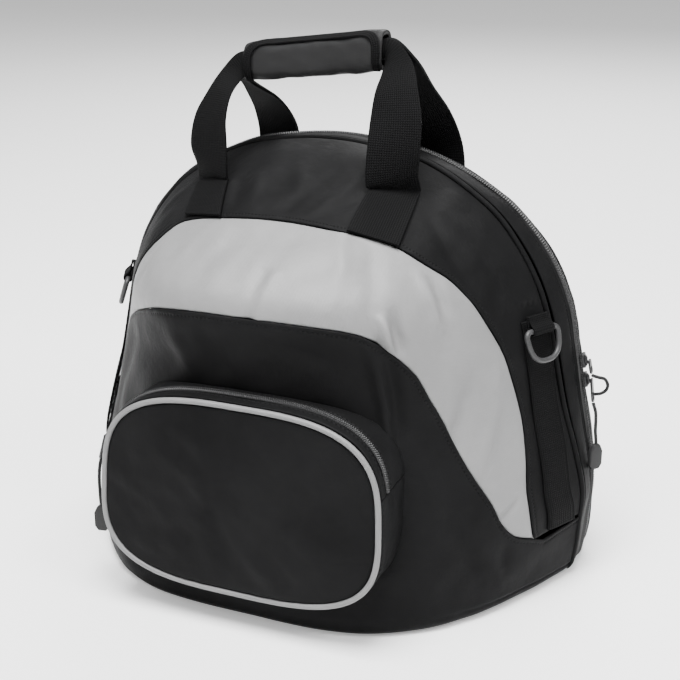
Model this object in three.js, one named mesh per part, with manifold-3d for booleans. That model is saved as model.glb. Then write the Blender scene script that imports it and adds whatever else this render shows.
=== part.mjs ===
// Motorcycle helmet bag: a domed case on a flat base, with a zip round its gusset, a zipped
// front pocket, two webbing handles held in one padded grip, and a D-ring on each side.
// Millimetres, +Z up. The bag faces -Y; x = 0 is its middle plane, y = 0 the plane of the
// front piping, and the base lies on z = 0.

import * as THREE from 'three';
import { mergeVertices } from 'three/addons/utils/BufferGeometryUtils.js';
import Module from 'manifold-3d';

const wasm = await Module();
wasm.setup();
const { Manifold, Mesh: SolidMesh } = wasm;

// Body sizes
const BODY_HALF_WIDTH = 210;
const BODY_HEIGHT = 329;
const FRONT_DEPTH = 161;
const GUSSET_DEPTH = 46;
const BACK_BULGE = 25;
const SIDE_SWELL = 11;
const BOTTOM_ROUND = 12;
const WALL = 2.4;
const GAP = 0.3;
const SIDE_EDGE_HEIGHT = 50;
const BEYOND = 60;

// How square the horizontal sections are at the floor and at the crown
const SQUARE = { floor: 3.64, crown: 2.97 };
const FULL = { floor: 1.07, crown: 1.29 };
const BACK_SQUARE = 4;

// Piping and zips
const PIPING_RADIUS = 2.2;
const PIPING_CLEAR = PIPING_RADIUS + GAP;
const ZIP_TAPE_WIDTH = 17;
const ZIP_TAPE_THICK = 1.2;
const COIL_WIDTH = 5.6;
const COIL_HEIGHT = 2.2;
const SLIDER_LENGTH = 11;
const SLIDER_WIDTH = 9;
const SLIDER_HEIGHT = 4;
const TAB_CLEAR = 1.2;
const TAB_THICK = 1.6;
const TAB_WIDTH = 6;

// Front pocket
const POCKET_HALF_WIDTH = 110;
const POCKET_HALF_HEIGHT = 72;
const POCKET_CENTRE_HEIGHT = 100;
const POCKET_STANDOFF = 8.7;
const POCKET_LEAN = 5.6;
const POCKET_BULGE = 5;
const POCKET_SQUARE = 3.2;
const POCKET_TAPER = 0.025;
const POCKET_FLARE = 8;
const POCKET_PIPING_RADIUS = 2.9;
const POCKET_STRIP = 6;
const POCKET_TAPE_WIDTH = 9;
const POCKET_REACH = 72;
const POCKET_ZIP_END = 0.045;

// Webbing and handles
const HANDLE_WIDTH = 38;
const HANDLE_THICK = 2;
const SIDE_STRAP_THICK = 1.6;
const GRIP_LENGTH = 110;
const GRIP_HEIGHT = 29;
const GRIP_THICK = 22;
const GRIP_ABOVE_CROWN = 62;
const GRIP_RISE = 14;
const GRIP_SHIFT = -5;
const GRIP_FRONT = -14;
const GRIP_TUNNEL = { height: 23, thick: 11 };
const GRIP_FOLD = 0.44;
const FOOT_EASE = 0.7;
const BINDING_WIDTH = 6.5;
const BINDING_THICK = 1.2;

// D-rings
const RING_WIRE = 2;
const RING_WIDTH = 32;
const RING_DROP = 23;
const RING_HEIGHT = 203;
const RING_FRONT = 14;
const RING_TILT = 0.1;
const TAB_LOOP_WIDTH = 24;
const TAB_LOOP_WALL = 1.6;
const TAB_LOOP_TAIL = 11;
const TAB_SEAT = 0.1;

// Rows from the floor to the crown, all shares: width of BODY_HALF_WIDTH, height of
// BODY_HEIGHT, depth of FRONT_DEPTH, mid and rear of SIDE_SWELL, back of BACK_BULGE.
const ARCH = [
  { height: 0.0, width: 0.967, depth: 1.0, mid: 0.0, rear: -0.1, back: 0.7 },
  { height: 0.07, width: 0.986, depth: 0.968, mid: 0.0, rear: -0.1, back: 0.8 },
  { height: 0.143, width: 0.995, depth: 0.938, mid: 0.0, rear: -0.2, back: 0.9 },
  { height: 0.216, width: 1.0, depth: 0.91, mid: 0.1, rear: -0.3, back: 1.0 },
  { height: 0.313, width: 0.967, depth: 0.888, mid: 0.35, rear: 0.0, back: 1.0 },
  { height: 0.435, width: 0.91, depth: 0.876, mid: 0.75, rear: 0.3, back: 1.0 },
  { height: 0.547, width: 0.871, depth: 0.885, mid: 0.9, rear: 0.45, back: 1.0 },
  { height: 0.629, width: 0.84, depth: 0.925, mid: 1.0, rear: 0.45, back: 1.0 },
  { height: 0.693, width: 0.806, depth: 0.963, mid: 0.9, rear: 0.35, back: 0.95 },
  { height: 0.745, width: 0.767, depth: 0.93, mid: 0.8, rear: 0.2, back: 0.9 },
  { height: 0.802, width: 0.71, depth: 0.795, mid: 0.6, rear: -0.1, back: 0.8 },
  { height: 0.857, width: 0.638, depth: 0.6, mid: 0.4, rear: -0.35, back: 0.65 },
  { height: 0.903, width: 0.547, depth: 0.43, mid: 0.2, rear: -0.5, back: 0.5 },
  { height: 0.945, width: 0.438, depth: 0.267, mid: 0.0, rear: -0.6, back: 0.35 },
  { height: 0.973, width: 0.329, depth: 0.155, mid: -0.05, rear: -0.65, back: 0.2 },
  { height: 0.991, width: 0.181, depth: 0.06, mid: -0.1, rear: -0.65, back: 0.1 },
  { height: 1.0, width: 0.0, depth: 0.0, mid: -0.1, rear: -0.65, back: 0.05 },
];

// The two seams of the grey band, from the middle down to its side tips. The bag leans in
// its filling, so the left side has its own column. Shares of BODY_HEIGHT and half-width.
const UPPER_SEAM = [
  { height: 0.868, right: 0.0, left: 0.0 },
  { height: 0.864, right: 0.14, left: 0.17 },
  { height: 0.849, right: 0.324, left: 0.33 },
  { height: 0.83, right: 0.414, left: 0.414 },
  { height: 0.79, right: 0.519, left: 0.49 },
  { height: 0.763, right: 0.576, left: 0.533 },
  { height: 0.733, right: 0.619, left: 0.576 },
  { height: 0.699, right: 0.657, left: 0.61 },
  { height: 0.644, right: 0.7, left: 0.66 },
  { height: 0.587, right: 0.738, left: 0.71 },
  { height: 0.526, right: 0.767, left: 0.75 },
  { height: 0.462, right: 0.795, left: 0.785 },
  { height: 0.398, right: 0.819, left: 0.812 },
  { height: 0.334, right: 0.838, left: 0.835 },
  { height: 0.277, right: 0.85, left: 0.85 },
  { height: 0.222, right: 0.867, left: 0.867 },
];
const LOWER_SEAM = [
  { height: 0.706, right: 0.0, left: 0.0 },
  { height: 0.705, right: 0.171, left: 0.152 },
  { height: 0.696, right: 0.314, left: 0.286 },
  { height: 0.684, right: 0.381, left: 0.367 },
  { height: 0.666, right: 0.424, left: 0.438 },
  { height: 0.629, right: 0.476, left: 0.548 },
  { height: 0.581, right: 0.529, left: 0.645 },
  { height: 0.526, right: 0.567, left: 0.695 },
  { height: 0.474, right: 0.605, left: 0.72 },
  { height: 0.398, right: 0.657, left: 0.752 },
  { height: 0.337, right: 0.705, left: 0.772 },
  { height: 0.264, right: 0.767, left: 0.795 },
  { height: 0.207, right: 0.805, left: 0.815 },
  { height: 0.173, right: 0.838, left: 0.838 },
];
const FRONT_ROWS = 19;
const FRONT_COLUMNS = 22;
const BAND_TIP = { height: 1.0, width: 0.881 };
// From the band's tip out past the piping: height of SIDE_EDGE_HEIGHT, width of half-width
const SIDE_EDGE = [
  { height: 0.92, width: 0.905 },
  { height: 0.96, width: 0.933 },
  { height: 0.99, width: 0.962 },
  { height: 1.08, width: 1.04 },
  { height: 1.1, width: 1.2 },
];

// Edges of the side strap down the front's flank: up from the lower panel's edge (0) to just
// above the ring (1), fore and aft of FRONT_DEPTH, counted forward from the piping.
const STRAP_ABOVE_RING = 7.56;
const STRAP_ABOVE_EDGE = 2.97;
const SIDE_STRAP = [
  { up: 1, fore: 0.168, aft: 0.018 },
  { up: 0.8747, fore: 0.172, aft: 0.02 },
  { up: 0.6451, fore: 0.182, aft: 0.036 },
  { up: 0.4572, fore: 0.2, aft: 0.046 },
  { up: 0.2902, fore: 0.22, aft: 0.066 },
  { up: 0.1649, fore: 0.236, aft: 0.08 },
  { up: 0.0605, fore: 0.224, aft: 0.06 },
  { up: 0, fore: 0.222, aft: 0.05 },
];

// Feet of the handles on the front and the back, at their lower and upper ends: out from the
// middle as a share of the half-width, height of BODY_HEIGHT, and the turn of the webbing's
// edge seen from above in degrees
const FRONT_FEET = {
  right: {
    lowOut: 0.3310, highOut: 0.3238, low: 0.8450, high: 0.9179, lowTurn: 11, highTurn: 32,
  },
  left: {
    lowOut: 0.3048, highOut: 0.3667, low: 0.8541, high: 0.9058, lowTurn: -18, highTurn: -26,
  },
};
const REAR_FEET = {
  right: {
    lowOut: 0.3333, highOut: 0.3286, low: 0.8207, high: 0.8997, lowTurn: 0, highTurn: 0,
  },
  left: {
    lowOut: 0.3381, highOut: 0.3429, low: 0.8207, high: 0.8997, lowTurn: 0, highTurn: 0,
  },
};

// Free runs of the handle webbing between foot and grip. Out is a share of the foot's
// distance from the middle, up of the rise from foot to grip, back of GUSSET_DEPTH behind
// the piping plane, wide of HANDLE_WIDTH (less where the webbing folds), turn in degrees.
const FRONT_RUNS = {
  right: [
    { out: 1.0, up: 0.1, back: -1.03, wide: 1, turn: 24 },
    { out: 1.02, up: 0.34, back: -1.04, wide: 1, turn: 12 },
    { out: 1.01, up: 0.56, back: -0.93, wide: 0.98, turn: 4 },
    { out: 0.97, up: 0.74, back: -0.76, wide: 0.82, turn: 8 },
    { out: 0.9, up: 0.9, back: -0.47, wide: 0.58, turn: 14 },
  ],
  left: [
    { out: 1.0, up: 0.1, back: -1.03, wide: 1, turn: -26 },
    { out: 1.03, up: 0.34, back: -1.02, wide: 0.96, turn: -16 },
    { out: 1.03, up: 0.56, back: -0.92, wide: 0.84, turn: -18 },
    { out: 0.98, up: 0.76, back: -0.72, wide: 0.66, turn: -20 },
    { out: 0.91, up: 0.91, back: -0.43, wide: 0.52, turn: -16 },
  ],
};
const REAR_RUNS = {
  right: [
    { out: 0.96, up: 0.2, back: 1.3, wide: 1, turn: 6 },
    { out: 0.88, up: 0.42, back: 1.04, wide: 1, turn: 10 },
    { out: 0.84, up: 0.68, back: 0.46, wide: 0.82, turn: 12 },
    { out: 0.9, up: 0.9, back: -0.18, wide: 0.5, turn: 12 },
  ],
  left: [
    { out: 0.99, up: 0.2, back: 1.32, wide: 1, turn: -4 },
    { out: 0.97, up: 0.42, back: 1.08, wide: 1, turn: -6 },
    { out: 0.95, up: 0.68, back: 0.48, wide: 0.82, turn: -8 },
    { out: 0.97, up: 0.9, back: -0.18, wide: 0.5, turn: -12 },
  ],
};

// Zip sliders on the right of the gusset: height of the upper one of BODY_HEIGHT, and how far
// below it the other is
const SLIDER_UPPER = 0.508;
const SLIDER_SPACING = 14.8;

// Routes of the pull cords, chosen points counted from the hinge of each one's tab
const CORD_RADIUS = 1.3;
const CORD_SEAT = 0.4;
const CORD_ROUTES = {
  pull_cord_upper: [
    [2.53, 1.00, -12.12], [3.53, 1.10, -12.72], [7.83, 1.60, -13.72], [12.23, 2.40, -14.72],
    [14.63, 3.20, -19.32], [13.43, 3.80, -24.12], [9.63, 3.80, -27.32], [5.03, 3.40, -28.52],
  ],
  pull_cord_lower: [
    [3.10, -2.40, -18.63], [5.70, -3.80, -25.03], [6.70, -5.40, -32.03], [7.10, -6.60, -39.03],
    [8.10, -7.60, -45.43], [8.50, -8.00, -48.83],
  ],
  pocket_pull_cord: [
    [-7.94, 3.20, -21.88], [-9.94, 3.80, -28.48], [-11.34, 4.20, -36.48],
    [-11.94, 4.40, -45.48], [-11.94, 4.60, -54.48], [-11.74, 4.60, -62.48],
  ],
};
const PULL_END = { length: 21, width: 11.5, thick: 4.4 };

const LOOK = {
  satin: { color: 0x303033, roughness: 0.55, metalness: 0 },
  grey: { color: 0xbebebe, roughness: 0.6, metalness: 0 },
  webbing: { color: 0x1c1c1e, roughness: 0.85, metalness: 0 },
  cord: { color: 0x131314, roughness: 0.8, metalness: 0 },
  coil: { color: 0x161617, roughness: 0.5, metalness: 0 },
  metal: { color: 0x1d1d1f, roughness: 0.35, metalness: 0.8 },
  ring: { color: 0x6f6f71, roughness: 0.45, metalness: 0.1 },
  moulded: { color: 0x4a4a4c, roughness: 0.5, metalness: 0 },
};

const lerp = THREE.MathUtils.lerp;
const V = (x, y, z) => new THREE.Vector3(x, y, z);

// A smooth curve through (xs, ys): Hermite, with a parabola's slope at each inner point
function smooth(xs, ys) {
  const last = xs.length - 1;
  const chord = xs.slice(1).map((x, i) => (ys[i + 1] - ys[i]) / (x - xs[i]));
  const slope = xs.map((x, i) => {
    if (i === 0) return chord[0];
    if (i === last) return chord[last - 1];
    const before = x - xs[i - 1];
    const after = xs[i + 1] - x;
    return (chord[i - 1] * after + chord[i] * before) / (before + after);
  });
  return (x) => {
    let i = 0;
    while (i < last - 1 && x > xs[i + 1]) i += 1;
    const h = xs[i + 1] - xs[i];
    const t = (x - xs[i]) / h;
    const rest = 1 - t;
    return (
      ys[i] * (1 + 2 * t) * rest * rest
      + ys[i + 1] * t * t * (3 - 2 * t)
      + slope[i] * h * t * rest * rest
      - slope[i + 1] * h * t * t * rest
    );
  };
}

// The arch of the front piping, measured along its length from the right foot (0) over the
// crown (CROWN) to the left foot (2 CROWN)
const half = ARCH.map((row) => ({
  ...row,
  x: row.width * BODY_HALF_WIDTH,
  z: row.height * BODY_HEIGHT,
}));
const whole = [...half, ...half.slice(0, -1).reverse().map((row) => ({ ...row, x: -row.x }))];
const along = [0];
for (let i = 1; i < whole.length; i += 1) {
  along.push(along[i - 1] + Math.hypot(whole[i].x - whole[i - 1].x, whole[i].z - whole[i - 1].z));
}
const CROWN = along[half.length - 1];
const column = (name) => smooth(along, whole.map((row) => row[name]));
const archX = column('x');
const archZ = column('z');
const archDepth = column('depth');
const archMid = column('mid');
const archRear = column('rear');
const archBack = column('back');

// Outward normal of the arch in the XZ plane
function archNormal(a) {
  const step = 0.5;
  const dx = archX(a + step) - archX(a - step);
  const dz = archZ(a + step) - archZ(a - step);
  return V(dz, 0, -dx).normalize();
}

// The place along the right half of the arch that is z above the floor
function archAtHeight(z) {
  let low = 0;
  let high = CROWN;
  for (let i = 0; i < 40; i += 1) {
    const middle = (low + high) / 2;
    if (archZ(middle) < z) low = middle;
    else high = middle;
  }
  return (low + high) / 2;
}

// How far the rounded bottom edge draws in at height z
function bottomDraw(z) {
  if (z >= BOTTOM_ROUND) return 0;
  const rise = BOTTOM_ROUND - Math.max(z, 0);
  return BOTTOM_ROUND - Math.sqrt(BOTTOM_ROUND ** 2 - rise ** 2);
}

// How far the gusset stands outside the arch, y behind the piping plane
function gussetSwell(a, y) {
  const t = y / GUSSET_DEPTH;
  const mid = archMid(a) * SIDE_SWELL;
  const rear = archRear(a) * SIDE_SWELL;
  return 4 * mid * t * (1 - t) + rear * t * (2 * t - 1);
}

function gussetPoint(a, y, lift) {
  const away = gussetSwell(a, y) + lift - bottomDraw(archZ(a));
  return V(archX(a), y, archZ(a)).addScaledVector(archNormal(a), away);
}

// Half-width, height, depth and section exponents of the front at one place on the arch
function frontSection(a, inset) {
  const normal = archNormal(a);
  const draw = bottomDraw(archZ(a));
  const share = archZ(a) / BODY_HEIGHT;
  return {
    halfWidth: archX(a) - normal.x * inset - draw,
    z: archZ(a) - normal.z * inset,
    depth: Math.max(archDepth(a) * FRONT_DEPTH - inset - draw, 0.2),
    square: lerp(SQUARE.floor, SQUARE.crown, share),
    full: lerp(FULL.floor, FULL.crown, share),
  };
}

function frontPoint(section, across) {
  const reach = (1 - Math.abs(across) ** section.square) ** section.full;
  return V(section.halfWidth * across, -section.depth * reach, section.z);
}

// The front face's point at x and height z, and its outward normal
function frontAt(x, z) {
  const section = frontSection(archAtHeight(z), 0);
  return frontPoint(section, THREE.MathUtils.clamp(x / section.halfWidth, -1, 1));
}

function frontNormal(x, z) {
  const sideways = frontAt(x + 2, z).sub(frontAt(x - 2, z));
  const upward = frontAt(x, z + 2).sub(frontAt(x, z - 2));
  return sideways.cross(upward).normalize();
}

// The point on the right flank of the front, a distance ahead of the piping plane
function flankAt(ahead, z) {
  const section = frontSection(archAtHeight(z), 0);
  const across = (1 - (ahead / section.depth) ** (1 / section.full)) ** (1 / section.square);
  return V(section.halfWidth * across, -ahead, z);
}

// Half-width, height, nearest and farthest y of the back at one place on the arch
function backSection(a, inset) {
  const normal = archNormal(a);
  const swell = gussetSwell(a, GUSSET_DEPTH) - inset;
  return {
    halfWidth: archX(a) + normal.x * swell - bottomDraw(archZ(a)),
    z: archZ(a) + normal.z * swell,
    near: GUSSET_DEPTH + PIPING_CLEAR + WALL - inset,
    bulge: archBack(a) * BACK_BULGE,
  };
}

function backPoint(section, across) {
  const reach = 1 - Math.abs(across) ** BACK_SQUARE;
  return V(section.halfWidth * across, section.near + section.bulge * reach, section.z);
}

// The back's point at x and height z, and its outward normal
function backAt(x, z) {
  const drop = gussetSwell(archAtHeight(z), GUSSET_DEPTH) * archNormal(archAtHeight(z)).z;
  const section = backSection(archAtHeight(Math.min(z - drop, BODY_HEIGHT - 1)), 0);
  section.z = z;
  return backPoint(section, THREE.MathUtils.clamp(x / section.halfWidth, -1, 1));
}

function backNormal(x, z) {
  const sideways = backAt(x + 2, z).sub(backAt(x - 2, z));
  const upward = backAt(x, z + 2).sub(backAt(x, z - 2));
  return upward.cross(sideways).normalize();
}

// Solids
function signedVolume(geometry) {
  const p = geometry.getAttribute('position');
  const index = geometry.getIndex();
  const corner = [V(), V(), V()];
  let volume = 0;
  for (let i = 0; i < index.count; i += 3) {
    corner.forEach((c, k) => c.fromBufferAttribute(p, index.getX(i + k)));
    volume += corner[0].dot(corner[1].cross(corner[2])) / 6;
  }
  return volume;
}

function faceOut(geometry) {
  if (signedVolume(geometry) < 0) {
    const index = geometry.getIndex();
    for (let i = 0; i < index.count; i += 3) {
      const kept = index.getX(i + 1);
      index.setX(i + 1, index.getX(i + 2));
      index.setX(i + 2, kept);
    }
  }
  geometry.computeVertexNormals();
  return geometry;
}

// The triangles of a flat or nearly flat closed ring
function capFaces(ring) {
  const normal = V(0, 0, 0);
  ring.forEach((p, i) => normal.add(V().crossVectors(p, ring[(i + 1) % ring.length])));
  normal.normalize();
  const helper = Math.abs(normal.x) < 0.8 ? V(1, 0, 0) : V(0, 1, 0);
  const u = V().crossVectors(normal, helper).normalize();
  const w = V().crossVectors(normal, u);
  const flat = ring.map((p) => new THREE.Vector2(p.dot(u), p.dot(w)));
  return THREE.ShapeUtils.triangulateShape(flat, []);
}

// A closed solid through a row of rings of the same count; closed in a loop, or capped
function loft(rings, loop = false) {
  const count = rings[0].length;
  const positions = rings.flat().flatMap((p) => [p.x, p.y, p.z]);
  const index = [];
  const spans = loop ? rings.length : rings.length - 1;
  for (let r = 0; r < spans; r += 1) {
    const here = r * count;
    const next = ((r + 1) % rings.length) * count;
    for (let i = 0; i < count; i += 1) {
      const j = (i + 1) % count;
      index.push(here + i, here + j, next + j);
      index.push(here + i, next + j, next + i);
    }
  }
  if (!loop) {
    const end = (rings.length - 1) * count;
    capFaces(rings[0]).forEach(([a, b, c]) => index.push(c, b, a));
    capFaces(rings.at(-1)).forEach(([a, b, c]) => index.push(end + a, end + b, end + c));
  }
  const geometry = new THREE.BufferGeometry();
  geometry.setAttribute('position', new THREE.Float32BufferAttribute(positions, 3));
  geometry.setIndex(index);
  return faceOut(geometry);
}

function toSolid(geometry) {
  const bare = new THREE.BufferGeometry();
  bare.setAttribute('position', geometry.getAttribute('position').clone());
  bare.setIndex(geometry.getIndex());
  const merged = mergeVertices(bare, 1e-4);
  return Manifold.ofMesh(new SolidMesh({
    numProp: 3,
    vertProperties: new Float32Array(merged.getAttribute('position').array),
    triVerts: new Uint32Array(merged.getIndex().array),
  }));
}

// A solid's one body as geometry; crumbs that a cut leaves are dropped
function fromSolid(solid) {
  const bodies = solid.decompose();
  const body = bodies.reduce((a, b) => (b.volume() > a.volume() ? b : a));
  const mesh = body.getMesh();
  const geometry = new THREE.BufferGeometry();
  geometry.setAttribute('position', new THREE.BufferAttribute(mesh.vertProperties, 3));
  geometry.setIndex(new THREE.BufferAttribute(mesh.triVerts, 1));
  geometry.computeVertexNormals();
  return geometry;
}

function box(low, high) {
  const geometry = new THREE.BoxGeometry(...V().subVectors(high, low).toArray());
  geometry.translate(...V().addVectors(low, high).multiplyScalar(0.5).toArray());
  return toSolid(geometry);
}

// An outline of [x, z] points drawn out from y = 0 to y = -depth
function prismForward(outline, depth) {
  const shape = new THREE.Shape(outline.map(([x, z]) => new THREE.Vector2(x, z)));
  const geometry = new THREE.ExtrudeGeometry(shape, { depth, bevelEnabled: false });
  geometry.rotateX(Math.PI / 2);
  return toSolid(geometry);
}

// The same outline moved outward all round
function grown(outline, distance) {
  const turned = THREE.ShapeUtils.area(outline.map(([x, z]) => new THREE.Vector2(x, z))) > 0;
  const points = outline.map(([x, z]) => new THREE.Vector2(x, z));
  const outward = (a, b) => {
    const edge = b.clone().sub(a).normalize();
    return turned ? new THREE.Vector2(edge.y, -edge.x) : new THREE.Vector2(-edge.y, edge.x);
  };
  return points.map((point, i) => {
    const before = outward(points.at(i - 1), point);
    const after = outward(point, points[(i + 1) % points.length]);
    const mitre = before.clone().add(after).normalize();
    const stretch = Math.min(1 / Math.max(mitre.dot(before), 0.3), 3);
    return point.clone().addScaledVector(mitre, distance * stretch).toArray();
  });
}

// A strip round the arch from y0 to y1, its outer face lifted off the gusset's surface
function archStrip(y0, y1, thick, lift, steps) {
  const start = archAtHeight(WALL + GAP);
  const ys = [y0, y1];
  const rings = [];
  for (let i = 0; i <= steps; i += 1) {
    const a = lerp(start, 2 * CROWN - start, i / steps);
    const outer = ys.map((y) => gussetPoint(a, y, lift));
    const inner = ys.map((y) => gussetPoint(a, y, lift - thick)).reverse();
    rings.push([...outer, ...inner]);
  }
  return loft(rings);
}

function roundShape(radius, sides) {
  const shape = new THREE.Shape();
  for (let i = 0; i < sides; i += 1) {
    const angle = (2 * Math.PI * (i + 0.5)) / sides;
    const point = [radius * Math.cos(angle), radius * Math.sin(angle)];
    if (i === 0) shape.moveTo(...point);
    else shape.lineTo(...point);
  }
  return shape;
}

function tube(points, radius, sides, steps) {
  const path = new THREE.CatmullRomCurve3(points, false, 'centripetal');
  const options = { steps, extrudePath: path, bevelEnabled: false };
  const geometry = new THREE.ExtrudeGeometry(roundShape(radius, sides), options);
  return faceOut(mergeVertices(geometry.deleteAttribute('uv').deleteAttribute('normal'), 1e-4));
}

// A tube whose path closes on itself, lying near one plane with the given normal
function loopTube(points, radius, sides, normal) {
  const rings = points.map((point, i) => {
    const ahead = points[(i + 1) % points.length];
    const tangent = V().subVectors(ahead, points.at(i - 1)).normalize();
    const out = V().crossVectors(tangent, normal).normalize();
    const up = V().crossVectors(out, tangent);
    return Array.from({ length: sides }, (_, k) => {
      const angle = (2 * Math.PI * (k + 0.5)) / sides;
      return point.clone()
        .addScaledVector(out, radius * Math.cos(angle))
        .addScaledVector(up, radius * Math.sin(angle));
    });
  });
  return loft(rings, true);
}

// Flat webbing along rows of { at, face, wide }: face is the way its outer side looks.
// A row's edge, if it has one, is the slanting line that the webbing lies along there.
function ribbon(rows, width, thick, steps) {
  const centre = new THREE.CatmullRomCurve3(rows.map((row) => row.at), false, 'centripetal');
  const order = rows.map((_, i) => i);
  const wide = smooth(order, rows.map((row) => row.wide));
  const edges = rows.map((row, i) => {
    const tangent = centre.getTangent(i / order.at(-1));
    const square = V().crossVectors(tangent, row.face).normalize();
    if (!row.edge) return square;
    return row.edge.clone().multiplyScalar(Math.sign(row.edge.dot(square)));
  });
  const parts = ['x', 'y', 'z'].map((axis) => smooth(order, edges.map((edge) => edge[axis])));
  const rings = [];
  for (let i = 0; i <= steps; i += 1) {
    const row = (i / steps) * order.at(-1);
    const at = centre.getPoint(i / steps);
    const across = V(...parts.map((part) => part(row))).normalize();
    const face = V().crossVectors(across, centre.getTangent(i / steps)).normalize();
    const w = (width * wide(row)) / 2;
    const corner = (u, v) => at.clone()
      .addScaledVector(across, u * w)
      .addScaledVector(face, (v * thick) / 2);
    rings.push([corner(-1, -1), corner(1, -1), corner(1, 1), corner(-1, 1)]);
  }
  return loft(rings);
}

// The closed front volume: rings from the floor to the crown, with a straight back edge
function frontVolume(inset, low, rows, columns) {
  const start = archAtHeight(low);
  const rings = [];
  for (let r = 0; r <= rows; r += 1) {
    const a = lerp(start, CROWN - 2, r / rows);
    const section = frontSection(a, inset);
    const ring = [];
    for (let c = 0; c <= columns; c += 1) {
      ring.push(frontPoint(section, Math.sin((c / columns - 0.5) * Math.PI)));
    }
    ring.push(V(section.halfWidth, 1, section.z), V(-section.halfWidth, 1, section.z));
    rings.push(ring);
  }
  return toSolid(loft(rings));
}

function bandEdges() {
  const tipHeight = BAND_TIP.height * SIDE_EDGE_HEIGHT;
  const tip = (side) => [side * BAND_TIP.width * BODY_HALF_WIDTH, tipHeight];
  const edge = (rows) => {
    const left = rows.slice(1).reverse();
    const controls = [
      tip(-1),
      ...left.map((r) => [-r.left * BODY_HALF_WIDTH, r.height * BODY_HEIGHT]),
      ...rows.map((r) => [r.right * BODY_HALF_WIDTH, r.height * BODY_HEIGHT]),
      tip(1),
    ].map(([x, z]) => V(x, z, 0));
    const curve = new THREE.CatmullRomCurve3(controls, false, 'centripetal');
    return curve.getPoints(34).map((p) => [p.x, p.y]);
  };
  return { upper: edge(UPPER_SEAM), lower: edge(LOWER_SEAM) };
}

function frontPanels() {
  const outer = frontVolume(0, WALL + GAP, FRONT_ROWS, FRONT_COLUMNS);
  const inner = frontVolume(WALL, WALL / 2, 13, 14);
  const behind = box(
    V(-BODY_HALF_WIDTH - BEYOND, -PIPING_CLEAR, -BEYOND),
    V(BODY_HALF_WIDTH + BEYOND, BEYOND, BODY_HEIGHT + BEYOND),
  );
  const shell = outer.subtract(inner).subtract(behind);
  const { upper, lower } = bandEdges();
  const band = [...upper, ...lower.slice(1, -1).reverse()];
  const out = SIDE_EDGE.map((r) => [r.width * BODY_HALF_WIDTH, r.height * SIDE_EDGE_HEIGHT]);
  const outLeft = out.map(([x, z]) => [-x, z]).reverse();
  const farX = out.at(-1)[0];
  const below = [...outLeft, ...lower, ...out, [farX, -BEYOND], [-farX, -BEYOND]];
  const reach = FRONT_DEPTH + BEYOND;
  const bandGap = prismForward(grown(band, GAP), reach);
  return {
    top_panel: fromSolid(shell.subtract(bandGap).subtract(prismForward(grown(below, GAP), reach))),
    grey_band: fromSolid(shell.intersect(prismForward(band, reach))),
    lower_panel: fromSolid(shell.intersect(prismForward(below, reach)).subtract(bandGap)),
  };
}

function backPanel() {
  const volume = (inset, low, rows, columns) => {
    const start = archAtHeight(low);
    const rings = [];
    for (let r = 0; r <= rows; r += 1) {
      const section = backSection(lerp(start, CROWN - 2, r / rows), inset);
      const ring = [];
      for (let c = 0; c <= columns; c += 1) {
        ring.push(backPoint(section, Math.sin((c / columns - 0.5) * Math.PI)));
      }
      const near = GUSSET_DEPTH - 1;
      ring.push(V(section.halfWidth, near, section.z), V(-section.halfWidth, near, section.z));
      rings.push(ring);
    }
    return toSolid(loft(rings));
  };
  const ahead = box(
    V(-BODY_HALF_WIDTH - BEYOND, 0, -BEYOND),
    V(BODY_HALF_WIDTH + BEYOND, GUSSET_DEPTH + PIPING_CLEAR, BODY_HEIGHT + BEYOND),
  );
  const shell = volume(0, WALL + GAP, 11, 12).subtract(volume(WALL, WALL / 2, 8, 8));
  return fromSolid(shell.subtract(ahead));
}

// The floor plate in the outline of the whole bag, its edge rounded with the walls
function basePanel() {
  const ring = (z) => {
    const a = archAtHeight(z);
    const front = frontSection(a, 0);
    const back = backSection(a, 0);
    const points = [];
    for (let c = 0; c <= 24; c += 1) {
      points.push(frontPoint(front, Math.sin((c / 24 - 0.5) * Math.PI)));
    }
    [0.33, 0.67, 1].forEach((t) => points.push(gussetPoint(a, t * GUSSET_DEPTH, 0)));
    for (let c = 16; c >= 0; c -= 1) {
      points.push(backPoint(back, Math.sin((c / 16 - 0.5) * Math.PI)));
    }
    [1, 0.67, 0.33].forEach((t) => {
      const p = gussetPoint(a, t * GUSSET_DEPTH, 0);
      points.push(V(-p.x, p.y, p.z));
    });
    points.forEach((p) => p.setZ(z));
    return points;
  };
  return loft([ring(0), ring(WALL / 3), ring(WALL)]);
}

function piping(y) {
  const start = archAtHeight(WALL + GAP + PIPING_RADIUS);
  const points = [];
  for (let i = 0; i <= 40; i += 1) {
    points.push(gussetPoint(lerp(start, 2 * CROWN - start, i / 40), y, -WALL / 2));
  }
  return tube(points, PIPING_RADIUS, 6, 40);
}

// A point on the pocket's outline, angle from +X, set in by inset, behind the face
function pocketPoint(angle, inset, behind) {
  const flare = (POCKET_FLARE * behind) / POCKET_REACH;
  const c = Math.cos(angle);
  const s = Math.sin(angle);
  const power = 2 / POCKET_SQUARE;
  const w = POCKET_HALF_WIDTH - inset;
  const h = POCKET_HALF_HEIGHT - inset + (s > 0 ? flare : 0);
  const z = h * Math.sign(s) * Math.abs(s) ** power;
  const x = w * Math.sign(c) * Math.abs(c) ** power * (1 - (POCKET_TAPER * z) / h);
  const lean = (POCKET_LEAN * z) / h;
  return V(x, -(FRONT_DEPTH + POCKET_STANDOFF) + lean + behind, POCKET_CENTRE_HEIGHT + z);
}

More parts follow.
